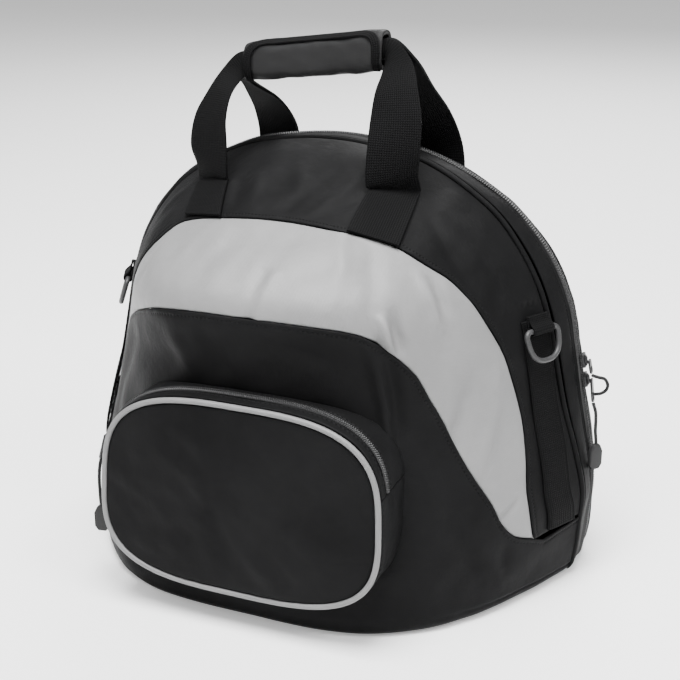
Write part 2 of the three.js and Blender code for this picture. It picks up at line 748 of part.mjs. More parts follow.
function pocketFace() {
  const edge = 2 * POCKET_PIPING_RADIUS + GAP;
  const ring = (share, thick) => {
    const rise = POCKET_BULGE * (1 - share * share);
    return Array.from({ length: 36 }, (_, i) => {
      const p = pocketPoint((2 * Math.PI * i) / 36, edge, 0);
      const centre = V(0, -(FRONT_DEPTH + POCKET_STANDOFF), POCKET_CENTRE_HEIGHT);
      return p.lerp(centre, 1 - share).add(V(0, thick - rise - WALL / 2, 0));
    });
  };
  const front = [0.04, 0.5, 0.85, 1].map((share) => ring(share, 0));
  const back = [1, 0.6, 0.04].map((share) => ring(share, WALL));
  return loft([...front, ...back]);
}

// A strip of the pocket's side wall between two angles, from near to far behind the face
function pocketStrip(from, to, near, far, thick, lift, steps) {
  const rings = [];
  for (let i = 0; i <= steps; i += 1) {
    const angle = lerp(from, to, i / steps);
    const outer = [near, far].map((d) => pocketPoint(angle, -lift, d));
    const inner = [far, near].map((d) => pocketPoint(angle, thick - lift, d));
    rings.push([...outer, ...inner]);
  }
  return loft(rings);
}

function pocketPieces() {
  const inset = POCKET_PIPING_RADIUS;
  const near = POCKET_PIPING_RADIUS + GAP;
  const stripEnd = near + POCKET_STRIP;
  const tapeEnd = stripEnd + GAP + POCKET_TAPE_WIDTH;
  const zipFrom = POCKET_ZIP_END * Math.PI;
  const zipTo = Math.PI - zipFrom;
  const split = GAP / POCKET_HALF_WIDTH;
  const body = frontVolume(-GAP, WALL + GAP, FRONT_ROWS, FRONT_COLUMNS);
  const coilMiddle = stripEnd + GAP + POCKET_TAPE_WIDTH / 2;
  const wall = (from, to, start, steps) => {
    const strip = pocketStrip(from, to, start, POCKET_REACH, WALL, 0, steps);
    return fromSolid(toSolid(strip).subtract(body));
  };
  const round = Array.from({ length: 44 }, (_, i) => (
    pocketPoint((2 * Math.PI * i) / 44, inset, 0)
  ));
  return {
    pocket_piping: loopTube(round, POCKET_PIPING_RADIUS, 6, V(0, 1, 0)),
    pocket_face: pocketFace(),
    pocket_strip_front: pocketStrip(zipFrom, zipTo, near, stripEnd, WALL, 0, 26),
    pocket_zip_tape: pocketStrip(
      zipFrom, zipTo, stripEnd + GAP, tapeEnd, ZIP_TAPE_THICK, -0.6, 26,
    ),
    pocket_zip_coil: pocketStrip(
      zipFrom + split, zipTo - split, coilMiddle - 2.2, coilMiddle + 2.2, 1.6, 1.3, 26,
    ),
    pocket_strip_rear: wall(zipFrom, zipTo, tapeEnd + GAP, 26),
    pocket_wall_lower: wall(zipTo + split, 2 * Math.PI + zipFrom - split, near, 30),
  };
}

// The grip's centre line and its rounded section
function gripCentre(x) {
  const share = (x - GRIP_SHIFT) / GRIP_LENGTH;
  return V(x, GRIP_FRONT, BODY_HEIGHT + GRIP_ABOVE_CROWN + GRIP_RISE * share);
}

function gripPoint(x, angle, height, thick) {
  const c = Math.cos(angle);
  const s = Math.sin(angle);
  const y = (thick / 2) * Math.sign(c) * Math.abs(c) ** 0.75;
  const z = (height / 2) * Math.sign(s) * Math.abs(s) ** 0.75;
  return gripCentre(x).add(V(0, -y, z));
}

function gripSolid(height, thick, length, sides, stations) {
  const rings = stations.map(({ share, high, deep }) => {
    const x = GRIP_SHIFT + (share * length) / 2;
    return Array.from({ length: sides }, (_, i) => (
      gripPoint(x, (2 * Math.PI * i) / sides, height * high, thick * deep)
    ));
  });
  return toSolid(loft(rings));
}

function gripPieces() {
  const rounded = [
    { share: -1, high: 0.97, deep: 0.97 }, { share: -0.94, high: 0.98, deep: 0.99 },
    { share: 0, high: 1.01, deep: 1.01 },
    { share: 0.94, high: 0.98, deep: 0.99 }, { share: 1, high: 0.97, deep: 0.97 },
  ];
  const mouths = [
    { share: -1, high: 1.12, deep: 1.66 }, { share: -0.72, high: 1, deep: 1 },
    { share: 0.72, high: 1, deep: 1 }, { share: 1, high: 1.12, deep: 1.66 },
  ];
  const outer = gripSolid(GRIP_HEIGHT, GRIP_THICK, GRIP_LENGTH, 20, rounded);
  const tunnel = gripSolid(GRIP_TUNNEL.height, GRIP_TUNNEL.thick, GRIP_LENGTH + 2, 12, mouths);
  const edge = GRIP_LENGTH / 2 - BINDING_WIDTH / 2 - 1;
  const path = [
    [-edge, -1.0], [-edge, -0.4], [-edge, 0.25], [-edge + 3, 0.7], [-edge + 9, 0.98],
    [-edge / 2, 1.02], [0, 1.02], [edge / 2, 1.02],
    [edge - 9, 0.98], [edge - 3, 0.7], [edge, 0.25], [edge, -0.4], [edge, -1.0],
  ];
  const stand = GAP + BINDING_THICK / 2 + 0.5;
  const rows = path.map(([x, angle]) => {
    const at = gripPoint(GRIP_SHIFT + x, angle, GRIP_HEIGHT, GRIP_THICK);
    const up = gripPoint(GRIP_SHIFT + x, angle + 0.1, GRIP_HEIGHT, GRIP_THICK);
    const out = V().crossVectors(V(1, 0, 0), up.sub(at)).normalize();
    return { at: at.addScaledVector(out, stand), face: out, wide: 1 };
  });
  return {
    handle_grip: fromSolid(outer.subtract(tunnel)),
    grip_binding: ribbon(rows, BINDING_WIDTH, BINDING_THICK, 36),
  };
}

// One handle: a foot sewn on the panel at each end, two free runs, and the part in the grip
function handle(front) {
  const pointAt = front ? frontAt : backAt;
  const normalAt = front ? frontNormal : backNormal;
  const feet = front ? FRONT_FEET : REAR_FEET;
  const runs = front ? FRONT_RUNS : REAR_RUNS;
  const ahead = front ? -1 : 1;
  const stand = GAP + HANDLE_THICK / 2 + FOOT_EASE;
  const sewnAndFree = (side) => {
    const key = side > 0 ? 'right' : 'left';
    const foot = {
      ...feet[key],
      low: feet[key].low * BODY_HEIGHT,
      high: feet[key].high * BODY_HEIGHT,
      lowOut: feet[key].lowOut * BODY_HALF_WIDTH,
      highOut: feet[key].highOut * BODY_HALF_WIDTH,
    };
    const sewn = [0, 0.35, 0.7, 0.88, 1].map((t) => {
      const x = side * lerp(foot.lowOut, foot.highOut, t);
      const z = lerp(foot.low, foot.high, t);
      const face = normalAt(x, z);
      const turn = THREE.MathUtils.degToRad(lerp(foot.lowTurn, foot.highTurn, t));
      const edge = V(Math.cos(turn), Math.sin(turn), 0);
      edge.setZ(-edge.dot(face) / face.z).normalize();
      return { at: pointAt(x, z).addScaledVector(face, stand), face, edge, wide: 1 };
    });
    const end = gripCentre(GRIP_SHIFT + (side * GRIP_LENGTH) / 2);
    const free = runs[key].map((row) => {
      const turn = THREE.MathUtils.degToRad(row.turn);
      const z = lerp(foot.high, end.z, row.up);
      const face = V(Math.sin(turn), -Math.cos(turn), 0).multiplyScalar(-ahead);
      return {
        at: V(side * row.out * foot.highOut, row.back * GUSSET_DEPTH, z), face, wide: row.wide,
      };
    });
    return [...sewn, ...free];
  };
  const shift = (ahead * GRIP_TUNNEL.thick) / 4.8;
  const inGrip = [-1.05, -0.95, -0.5, 0, 0.5, 0.95, 1.05].map((share) => ({
    at: gripCentre(GRIP_SHIFT + (share * GRIP_LENGTH) / 2).add(V(0, shift, 0)),
    face: V(0, ahead, 0),
    wide: GRIP_FOLD,
  }));
  const rows = [...sewnAndFree(-1), ...inGrip, ...sewnAndFree(1).reverse()];
  return ribbon(rows, HANDLE_WIDTH, HANDLE_THICK, 66);
}

// The right flank's frame at the D-ring: along the bar, down the flank, and outward
function ringFrame() {
  const fore = flankAt(RING_FRONT + TAB_LOOP_WIDTH / 2, RING_HEIGHT);
  const aft = flankAt(Math.max(RING_FRONT - TAB_LOOP_WIDTH / 2, 1), RING_HEIGHT);
  const bar = V().subVectors(aft, fore).normalize();
  const down = flankAt(RING_FRONT, RING_HEIGHT - 20).sub(flankAt(RING_FRONT, RING_HEIGHT + 10));
  down.addScaledVector(bar, -down.dot(bar)).normalize();
  const out = V().crossVectors(down, bar).normalize();
  if (out.x < 0) out.negate();
  const stand = 2 * GAP + SIDE_STRAP_THICK + TAB_LOOP_WALL + RING_WIRE + TAB_SEAT;
  const centre = V().addVectors(fore, aft).multiplyScalar(0.5).addScaledVector(out, stand);
  return { bar, down, out, centre };
}

function inFrame({ bar, down, out, centre }, a, d, o) {
  return centre.clone().addScaledVector(bar, a).addScaledVector(down, d).addScaledVector(out, o);
}

function ringPieces() {
  const frame = ringFrame();
  const tilted = {
    ...frame,
    down: frame.down.clone().multiplyScalar(Math.cos(RING_TILT))
      .addScaledVector(frame.out, Math.sin(RING_TILT)),
  };
  const w = RING_WIDTH / 2;
  const path = [];
  for (let i = -3; i <= 3; i += 1) path.push(inFrame(tilted, (i / 3) * (w - 3), 0, 0));
  const bow = 14;
  for (let i = 0; i <= bow; i += 1) {
    const angle = (Math.PI * i) / bow;
    const reach = Math.sin(angle) ** 0.72;
    const wide = Math.sign(Math.cos(angle)) * Math.abs(Math.cos(angle)) ** 0.8;
    path.push(inFrame(tilted, w * wide, 2.5 + (RING_DROP - 2.5) * reach, 0));
  }
  const normal = V().crossVectors(frame.bar, tilted.down).normalize();
  const hole = RING_WIRE + GAP;
  const skin = hole + TAB_LOOP_WALL;
  const profile = new THREE.Shape();
  const turnFrom = Math.PI / 2;
  for (let i = 0; i <= 10; i += 1) {
    const angle = turnFrom - (Math.PI * i) / 10;
    const point = [skin * Math.cos(angle), skin * Math.sin(angle)];
    if (i === 0) profile.moveTo(...point);
    else profile.lineTo(...point);
  }
  profile.lineTo(-TAB_LOOP_TAIL, -skin);
  profile.lineTo(-TAB_LOOP_TAIL, -skin + 2 * TAB_LOOP_WALL);
  profile.lineTo(-skin - 2, -skin + 2 * TAB_LOOP_WALL + 0.6);
  const bore = new THREE.Path();
  for (let i = 0; i < 12; i += 1) {
    const angle = (2 * Math.PI * i) / 12;
    const point = [hole * 1.04 * Math.cos(angle), hole * 1.04 * Math.sin(angle)];
    if (i === 0) bore.moveTo(...point);
    else bore.lineTo(...point);
  }
  profile.holes.push(bore);
  const options = { depth: TAB_LOOP_WIDTH, bevelEnabled: false };
  const loop = new THREE.ExtrudeGeometry(profile, options);
  loop.translate(0, 0, -TAB_LOOP_WIDTH / 2);
  const place = new THREE.Matrix4().makeBasis(frame.down, frame.out, frame.bar);
  place.setPosition(frame.centre);
  loop.applyMatrix4(place);
  const bare = mergeVertices(loop.deleteAttribute('uv').deleteAttribute('normal'), 1e-4);
  return {
    d_ring: loopTube(path, RING_WIRE, 8, normal),
    d_ring_tab: faceOut(bare),
  };
}

// Webbing down the flank from under the tab to the lower panel's top edge
function sideStrap() {
  const inner = frontVolume(-GAP, WALL + GAP, FRONT_ROWS, FRONT_COLUMNS);
  const outer = frontVolume(
    -GAP - SIDE_STRAP_THICK, WALL + GAP, FRONT_ROWS, FRONT_COLUMNS,
  );
  const foot = SIDE_EDGE_HEIGHT + STRAP_ABOVE_EDGE;
  const level = (row) => lerp(foot, RING_HEIGHT + STRAP_ABOVE_RING, row.up);
  const fore = SIDE_STRAP.map((row) => [row.fore * FRONT_DEPTH, level(row)]);
  const aft = SIDE_STRAP.map((row) => [row.aft * FRONT_DEPTH, level(row)]).reverse();
  const shape = new THREE.Shape([...fore, ...aft].map(([u, v]) => new THREE.Vector2(u, v)));
  const options = { depth: BODY_HALF_WIDTH + BEYOND, bevelEnabled: false };
  const cutter = new THREE.ExtrudeGeometry(shape, options);
  const place = new THREE.Matrix4().makeBasis(V(0, -1, 0), V(0, 0, 1), V(-1, 0, 0));
  place.setPosition(BODY_HALF_WIDTH + BEYOND, 0, 0);
  cutter.applyMatrix4(place);
  return fromSolid(outer.subtract(inner).intersect(toSolid(cutter)));
}

// Frame on a zip: along the coil, across it, and out of it
function zipSlider(frame) {
  const l = SLIDER_LENGTH / 2;
  const w = SLIDER_WIDTH / 2;
  const plan = [
    [-l, -w * 0.6], [-l * 0.4, -w * 0.72], [l * 0.5, -w], [l, -w * 0.8],
    [l, w * 0.8], [l * 0.5, w], [-l * 0.4, w * 0.72], [-l, w * 0.6],
  ];
  const plate = new THREE.ExtrudeGeometry(
    new THREE.Shape(plan.map(([u, v]) => new THREE.Vector2(u, v))),
    { depth: SLIDER_HEIGHT * 0.55, bevelEnabled: false },
  );
  const bridge = new THREE.Shape();
  bridge.moveTo(-l * 0.75, 0.1);
  bridge.lineTo(-l * 0.75, SLIDER_HEIGHT * 0.8);
  bridge.lineTo(-l * 0.4, SLIDER_HEIGHT);
  bridge.lineTo(l * 0.4, SLIDER_HEIGHT);
  bridge.lineTo(l * 0.75, SLIDER_HEIGHT * 0.8);
  bridge.lineTo(l * 0.75, 0.1);
  const hump = new THREE.ExtrudeGeometry(bridge, { depth: 2.4, bevelEnabled: false });
  hump.translate(0, 0, -1.2);
  hump.rotateX(Math.PI / 2);
  const place = new THREE.Matrix4().makeBasis(frame.along, frame.across, frame.out);
  place.setPosition(frame.at);
  plate.applyMatrix4(place);
  hump.applyMatrix4(place);
  return fromSolid(toSolid(plate).add(toSolid(hump)));
}

// Where the tab of the slider at a frame hinges
function tabHinge(frame) {
  return frame.at.clone().addScaledVector(frame.out, SLIDER_HEIGHT + TAB_CLEAR);
}

// A pull tab: a flat plate with a slot, from its slider to just short of its cord
function pullTab(frame, route) {
  const hinge = tabHinge(frame);
  const cord = route[0];
  const bend = V().subVectors(cord, hinge).angleTo(V().subVectors(route[1], cord));
  const length = hinge.distanceTo(cord) - CORD_SEAT - CORD_RADIUS * Math.sin(bend);
  const w = TAB_WIDTH / 2;
  const shape = new THREE.Shape([
    [0, -w * 0.8], [length - 2, -w], [length, -w * 0.6],
    [length, w * 0.6], [length - 2, w], [0, w * 0.8],
  ].map(([u, v]) => new THREE.Vector2(u, v)));
  const slot = new THREE.Path([
    [length - 5.6, -1.6], [length - 5.6, 1.6], [length - 1.6, 1.6], [length - 1.6, -1.6],
  ].map(([u, v]) => new THREE.Vector2(u, v)));
  shape.holes.push(slot);
  const plate = new THREE.ExtrudeGeometry(shape, { depth: TAB_THICK, bevelEnabled: false });
  plate.translate(0, 0, -TAB_THICK / 2);
  const u = V().subVectors(cord, hinge).normalize();
  const side = V().crossVectors(frame.out, u).normalize();
  const place = new THREE.Matrix4().makeBasis(u, side, V().crossVectors(u, side));
  place.setPosition(hinge);
  plate.applyMatrix4(place);
  return faceOut(mergeVertices(plate.deleteAttribute('uv').deleteAttribute('normal'), 1e-4));
}

// The moulded end that hangs on a pull cord, its face turned by spin about +Z
function pullEnd(top, spin) {
  const l = PULL_END.length;
  const w = PULL_END.width / 2;
  const plan = [
    [-w * 0.35, 0], [-w * 0.62, -l * 0.08], [-w, -l * 0.3], [-w, -l * 0.82],
    [-w * 0.55, -l], [w * 0.55, -l], [w, -l * 0.82], [w, -l * 0.3],
    [w * 0.62, -l * 0.08], [w * 0.35, 0],
  ];
  const shape = new THREE.Shape(plan.map(([u, v]) => new THREE.Vector2(u, v)));
  const options = {
    depth: PULL_END.thick - 1.6, bevelEnabled: true, bevelThickness: 0.8, bevelSize: 0.8,
    bevelOffset: -0.8, bevelSegments: 1,
  };
  const body = new THREE.ExtrudeGeometry(shape, options);
  body.translate(0, 0, -PULL_END.thick / 2 + 0.8);
  body.rotateX(Math.PI / 2);
  body.rotateZ(spin);
  body.translate(top.x, top.y, top.z);
  return faceOut(mergeVertices(body.deleteAttribute('uv').deleteAttribute('normal'), 1e-4));
}

function gussetFrame(share) {
  const a = archAtHeight(share * BODY_HEIGHT);
  const out = archNormal(a);
  const at = gussetPoint(a, GUSSET_DEPTH / 2, COIL_HEIGHT + 2 * GAP);
  const upward = V(-out.z, 0, out.x);
  return { at, out, along: upward, across: V().crossVectors(out, upward) };
}

function zipPieces() {
  const middle = GUSSET_DEPTH / 2;
  const tape = ZIP_TAPE_WIDTH / 2;
  const upper = gussetFrame(SLIDER_UPPER);
  const lower = gussetFrame(SLIDER_UPPER - SLIDER_SPACING / BODY_HEIGHT);
  lower.along.negate();
  lower.across.negate();
  const pocketFrame = pocketSliderFrame();
  const route = (frame, name) => CORD_ROUTES[name].map((p) => V(...p).add(tabHinge(frame)));
  const upperRoute = route(upper, 'pull_cord_upper');
  const lowerRoute = route(lower, 'pull_cord_lower');
  const pocketRoute = route(pocketFrame, 'pocket_pull_cord');
  const hang = (points) => points.at(-1).clone().add(V(0, 0, -CORD_SEAT));
  const cord = (points) => [tube(points, CORD_RADIUS, 8, 8), 'cord'];
  return {
    gusset_front: [archStrip(PIPING_CLEAR, middle - tape - GAP, WALL, 0, 36), 'satin'],
    zip_tape: [archStrip(middle - tape, middle + tape, ZIP_TAPE_THICK, -0.4, 36), 'coil'],
    zip_coil: [
      archStrip(middle - COIL_WIDTH / 2, middle + COIL_WIDTH / 2, COIL_HEIGHT, COIL_HEIGHT, 36),
      'coil',
    ],
    gusset_rear: [
      archStrip(middle + tape + GAP, GUSSET_DEPTH - PIPING_CLEAR, WALL, 0, 36), 'satin',
    ],
    zip_slider_upper: [zipSlider(upper), 'metal'],
    zip_slider_lower: [zipSlider(lower), 'metal'],
    zip_tab_upper: [pullTab(upper, upperRoute), 'metal'],
    zip_tab_lower: [pullTab(lower, lowerRoute), 'metal'],
    pull_end_lower: [pullEnd(hang(lowerRoute), 0.9), 'moulded'],
    pocket_slider: [zipSlider(pocketFrame), 'metal'],
    pocket_tab: [pullTab(pocketFrame, pocketRoute), 'metal'],
    pocket_pull_end: [pullEnd(hang(pocketRoute), 0.2), 'moulded'],
    pull_cord_upper: cord(upperRoute),
    pull_cord_lower: cord(lowerRoute),
    pocket_pull_cord: cord(pocketRoute),
  };
}

function pocketSliderFrame() {
  const behind = POCKET_PIPING_RADIUS + 2 * GAP + POCKET_STRIP + POCKET_TAPE_WIDTH / 2;
  const angle = Math.PI * (1 - POCKET_ZIP_END - 0.012);
  const at = pocketPoint(angle, -1.3 - GAP, behind);
  const upward = pocketPoint(angle + 0.02, 0, behind).sub(pocketPoint(angle - 0.02, 0, behind));
  upward.normalize();
  const across = V(0, 1, 0);
  across.addScaledVector(upward, -across.dot(upward)).normalize();
  const out = V().crossVectors(upward, across);
  if (out.x > 0) {
    out.negate();
    across.negate();
  }
  return { at, out, along: upward, across };
}

function mirrored(geometry) {
  const copy = geometry.clone();
  copy.scale(-1, 1, 1);
  return faceOut(copy);
}

const bag = new THREE.Group();
bag.name = 'helmet_bag';

function add(name, geometry, look) {
  const mesh = new THREE.Mesh(geometry, new THREE.MeshStandardMaterial(LOOK[look]));
  mesh.name = name;
  bag.add(mesh);
}

const panels = frontPanels();
add('top_panel', panels.top_panel, 'satin');
add('grey_band', panels.grey_band, 'grey');
add('lower_panel', panels.lower_panel, 'satin');
add('base_panel', basePanel(), 'satin');
add('back_panel', backPanel(), 'satin');
add('front_piping', piping(0), 'satin');
add('rear_piping', piping(GUSSET_DEPTH), 'satin');
const pocket = pocketPieces();
const pocketLooks = { pocket_piping: 'grey', pocket_zip_tape: 'coil', pocket_zip_coil: 'coil' };
Object.entries(pocket).forEach(([name, geometry]) => {
  add(name, geometry, pocketLooks[name] ?? 'satin');
});
Object.entries(zipPieces()).forEach(([name, [geometry, look]]) => add(name, geometry, look));
add('handle_front', handle(true), 'webbing');
add('handle_rear', handle(false), 'webbing');
Object.entries(gripPieces()).forEach(([name, geometry]) => add(name, geometry, 'satin'));
const rings = ringPieces();
const strap = sideStrap();
add('side_strap_right', strap, 'webbing');
add('side_strap_left', mirrored(strap), 'webbing');
add('d_ring_tab_right', rings.d_ring_tab, 'webbing');
add('d_ring_tab_left', mirrored(rings.d_ring_tab), 'webbing');
add('d_ring_right', rings.d_ring, 'ring');
add('d_ring_left', mirrored(rings.d_ring), 'ring');

export default bag;
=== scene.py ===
"""A zipped bag for one motorcycle helmet: a domed body of satin nylon with a light grey band, a
rounded pocket in front, two webbing handles in one padded grip and a D-ring on each flank."""
import math

import bpy
import numpy as np
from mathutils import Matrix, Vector, noise


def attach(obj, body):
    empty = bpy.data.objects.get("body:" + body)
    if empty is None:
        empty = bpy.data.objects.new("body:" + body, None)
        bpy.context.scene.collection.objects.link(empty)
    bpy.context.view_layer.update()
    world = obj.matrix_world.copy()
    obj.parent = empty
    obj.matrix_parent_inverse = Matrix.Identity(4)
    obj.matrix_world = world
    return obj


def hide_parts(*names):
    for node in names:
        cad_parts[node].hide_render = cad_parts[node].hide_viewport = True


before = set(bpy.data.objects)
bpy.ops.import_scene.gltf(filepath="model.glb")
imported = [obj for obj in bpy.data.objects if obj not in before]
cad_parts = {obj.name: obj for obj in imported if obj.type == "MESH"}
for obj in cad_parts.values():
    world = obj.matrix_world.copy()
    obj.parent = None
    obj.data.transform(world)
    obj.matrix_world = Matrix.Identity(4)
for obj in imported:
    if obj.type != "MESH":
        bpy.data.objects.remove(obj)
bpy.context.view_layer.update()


def aimed(thing, target):
    """Turns the camera or a lamp to face the target."""
    way = Vector(target) - thing.location
    thing.rotation_euler = way.to_track_quat("-Z", "Y").to_euler()


# The camera stands where the photograph was taken: to the right of the bag and above it.
bpy.ops.object.select_all(action="DESELECT")
bpy.ops.object.camera_add(location=(0.3956, -0.9136, 0.5213))
camera = bpy.context.object
camera.data.lens = 70.1
camera.data.sensor_width = 36
aimed(camera, (0.00784, 0, 0.16695))
bpy.context.scene.camera = camera


# Every finish is one shader, fed by nodes that are written as plain sums. They work on the
# cloth's own metres, on its seams' distances or on the object's own coordinates.
def feed(place, value):
    """Joins a shade to a node's input, or writes a plain value there."""
    if isinstance(value, Shade):
        value.tree.links.new(value.socket, place)
    else:
        place.default_value = value


class Shade:
    """A node's socket. A sum on it adds the Math nodes that it needs."""

    def __init__(self, tree, socket):
        self.tree = tree
        self.socket = socket

    def math(self, operation, *values):
        node = self.tree.nodes.new("ShaderNodeMath")
        node.operation = operation
        for place, value in zip(node.inputs, values):
            feed(place, value)
        return Shade(self.tree, node.outputs[0])

    def __add__(self, other):
        return self.math("ADD", self, other)

    def __radd__(self, other):
        return self.math("ADD", other, self)

    def __sub__(self, other):
        return self.math("SUBTRACT", self, other)

    def __rsub__(self, other):
        return self.math("SUBTRACT", other, self)

    def __mul__(self, other):
        return self.math("MULTIPLY", self, other)

    def __rmul__(self, other):
        return self.math("MULTIPLY", other, self)

    def __truediv__(self, other):
        return self.math("DIVIDE", self, other)

    def __pow__(self, other):
        return self.math("POWER", self, other)

    def __abs__(self):
        return self.math("ABSOLUTE", self)

    def wave(self, pitch):
        return self.math("SINE", self * (2 * math.pi / pitch)) * 0.5 + 0.5

    def fract(self):
        return self.math("FRACT", self)

    def within(self, low, high):
        """0 below low, 1 above high, and soft between."""
        node = self.tree.nodes.new("ShaderNodeMapRange")
        node.interpolation_type = "SMOOTHSTEP"
        for place, value in zip(node.inputs, (self, low, high, 0.0, 1.0)):
            feed(place, value)
        return Shade(self.tree, node.outputs[0])


class Finish:
    """One material: its shader, the nodes that feed it, and its relief."""

    def __init__(self, name, **shader):
        self.material = bpy.data.materials.new(name)
        self.material.use_nodes = True
        self.tree = self.material.node_tree
        self.shader = self.tree.nodes["Principled BSDF"]
        self.bump = None
        for socket, value in shader.items():
            self.set(socket.replace("_", " "), value)

    def set(self, socket, value):
        feed(self.shader.inputs[socket], value)

    def node(self, kind, settings, output=0, **sockets):
        node = self.tree.nodes.new(kind)
        for name, value in settings.items():
            setattr(node, name, value)
        for name, value in sockets.items():
            feed(node.inputs[name.replace("_", " ")], value)
        return Shade(self.tree, node.outputs[output])

    def attribute(self, name):
        return self.node("ShaderNodeAttribute", {"attribute_name": name}, output="Fac")

    def cloth(self):
        """Metres across and along the cloth, from the piece's own UV map."""
        uv = self.node("ShaderNodeUVMap", {})
        split = self.tree.nodes.new("ShaderNodeSeparateXYZ")
        self.tree.links.new(uv.socket, split.inputs[0])
        return Shade(self.tree, split.outputs[0]), Shade(self.tree, split.outputs[1])

    def noise(self, scale, detail=2.0, roughness=0.5, stretch=(1, 1, 1)):
        place = self.node("ShaderNodeTexCoord", {}, output="Object")
        if stretch != (1, 1, 1):
            place = self.node("ShaderNodeMapping", {}, Vector=place, Scale=stretch)
        return self.node(
            "ShaderNodeTexNoise", {}, Vector=place, Scale=scale, Detail=detail,
            Roughness=roughness,
        )

    def tint(self, share, dark, light):
        node = self.tree.nodes.new("ShaderNodeMix")
        node.data_type = "RGBA"
        feed(node.inputs[0], share)
        node.inputs[6].default_value = (*dark, 1)
        node.inputs[7].default_value = (*light, 1)
        return Shade(self.tree, node.outputs[2])

    def coat(self, share, dark, light, roughness):
        """The colour goes from dark to light with the share."""
        self.set("Base Color", self.tint(share, dark, light))
        self.set("Roughness", roughness)

    def relief(self, height, metres, strength=1.0):
        node = self.tree.nodes.new("ShaderNodeBump")
        node.inputs["Strength"].default_value = strength
        node.inputs["Distance"].default_value = metres
        feed(node.inputs["Height"], height)
        if self.bump is not None:
            self.tree.links.new(self.bump.outputs[0], node.inputs["Normal"])
        self.bump = node
        self.tree.links.new(node.outputs[0], self.shader.inputs["Normal"])


# A plain pale floor in a pale room. The strongest lamp hangs over the bag, a weak one stands in
# front on each side, and one lights its back.
floor_paint = Finish("floor_paper", Roughness=0.9)
floor_paint.set(
    "Base Color", floor_paint.tint(floor_paint.noise(3), (0.86, 0.86, 0.86), (0.88, 0.88, 0.88))
)
floor_paint.set("Emission Color", (1, 1, 1, 1))
floor_paint.set("Emission Strength", 0.3)
bpy.ops.mesh.primitive_plane_add(size=30, location=(0, 0, 0))
floor = bpy.context.object
floor.name = "floor"
floor.data.materials.append(floor_paint.material)

world = bpy.data.worlds.new("room")
bpy.context.scene.world = world
world.use_nodes = True
world.node_tree.nodes["Background"].inputs["Color"].default_value = (1, 1, 1, 1)
world.node_tree.nodes["Background"].inputs["Strength"].default_value = 0.33

for name, spot, size, power in (
    ("lamp_left", (-1.0, -1.5, 2.2), 1.2, 32),
    ("lamp_right", (1.7, -0.6, 2.0), 0.9, 40),
    ("lamp_over", (0.1, -0.6, 2.2), 1.1, 150),
    ("lamp_back", (-0.2, 2.0, 2.0), 1.6, 75),
):
    bpy.ops.object.light_add(type="AREA", location=spot)
    lamp = bpy.context.object
    lamp.name = name
    lamp.data.size = size
    lamp.data.energy = power
    aimed(lamp, (0, 0, 0.17))


# The body's front is a deep shell. Its half-width follows the arch of the front piping, and at
# each height a flattened bow runs from one flank round to the other. Each row of the arch holds
# its height, width and depth, the swell in the middle and at the rear, and the back's bulge.
HALF_WIDTH = 0.210
HEIGHT = 0.329
DEPTH = 0.161
GUSSET = 0.046
BULGE = 0.025
SWELL = 0.011
ROUND = 0.012
WALL = 0.0024
GAP = 0.0003
PIPE = 0.0022
ARCH = np.array([
    (0.0, 0.967, 1.0, 0.0, -0.1, 0.7), (0.07, 0.986, 0.968, 0.0, -0.1, 0.8),
    (0.143, 0.995, 0.938, 0.0, -0.2, 0.9), (0.216, 1.0, 0.91, 0.1, -0.3, 1.0),
    (0.313, 0.967, 0.888, 0.35, 0.0, 1.0), (0.435, 0.91, 0.876, 0.75, 0.3, 1.0),
    (0.547, 0.871, 0.885, 0.9, 0.45, 1.0), (0.629, 0.84, 0.925, 1.0, 0.45, 1.0),
    (0.693, 0.806, 0.963, 0.9, 0.35, 0.95), (0.745, 0.767, 0.93, 0.8, 0.2, 0.9),
    (0.802, 0.71, 0.795, 0.6, -0.1, 0.8), (0.857, 0.638, 0.6, 0.4, -0.35, 0.65),
    (0.903, 0.547, 0.43, 0.2, -0.5, 0.5), (0.945, 0.438, 0.267, 0.0, -0.6, 0.35),
    (0.973, 0.329, 0.155, -0.05, -0.65, 0.2), (0.991, 0.181, 0.06, -0.1, -0.65, 0.1),
    (1.0, 0.0, 0.0, -0.1, -0.65, 0.05),
])


def smooth(xs, ys, x):
    """A smooth curve through (xs, ys), with a parabola's slope at each inner point."""
    xs, ys, x = np.asarray(xs, float), np.asarray(ys, float), np.asarray(x, float)
    step = np.diff(xs)
    chord = np.diff(ys) / step
    slope = np.concatenate([chord[:1], chord[-1:]])
    if len(chord) > 1:
        inner = (chord[:-1] * step[1:] + chord[1:] * step[:-1]) / (step[:-1] + step[1:])
        slope = np.concatenate([chord[:1], inner, chord[-1:]])
    i = np.clip(np.searchsorted(xs, x) - 1, 0, len(xs) - 2)
    t = (x - xs[i]) / step[i]
    rest = 1 - t
    return (
        ys[i] * (1 + 2 * t) * rest**2 + ys[i + 1] * t**2 * (3 - 2 * t)
        + slope[i] * step[i] * t * rest**2 - slope[i + 1] * step[i] * t**2 * rest
    )


def mirrored_rows(column, sign=1):
    return np.concatenate([column, sign * column[-2::-1]])


arch_rows = (mirrored_rows(ARCH[:, 1] * HALF_WIDTH, -1), mirrored_rows(ARCH[:, 0] * HEIGHT))
arch_run = np.concatenate([[0], np.cumsum(np.hypot(*np.diff(arch_rows, axis=1)))])
CROWN = arch_run[len(ARCH) - 1]


def arch(a, column=None):
    """A named column of the arch, or its x and z, at the length a from the right foot."""
    if column is None:
        return smooth(arch_run, arch_rows[0], a), smooth(arch_run, arch_rows[1], a)
    return smooth(arch_run, mirrored_rows(ARCH[:, column]), a)


def arch_normal(a):
    (x0, z0), (x1, z1) = arch(a - 0.0005), arch(a + 0.0005)
    length = np.hypot(x1 - x0, z1 - z0)
    return (z1 - z0) / length, (x0 - x1) / length


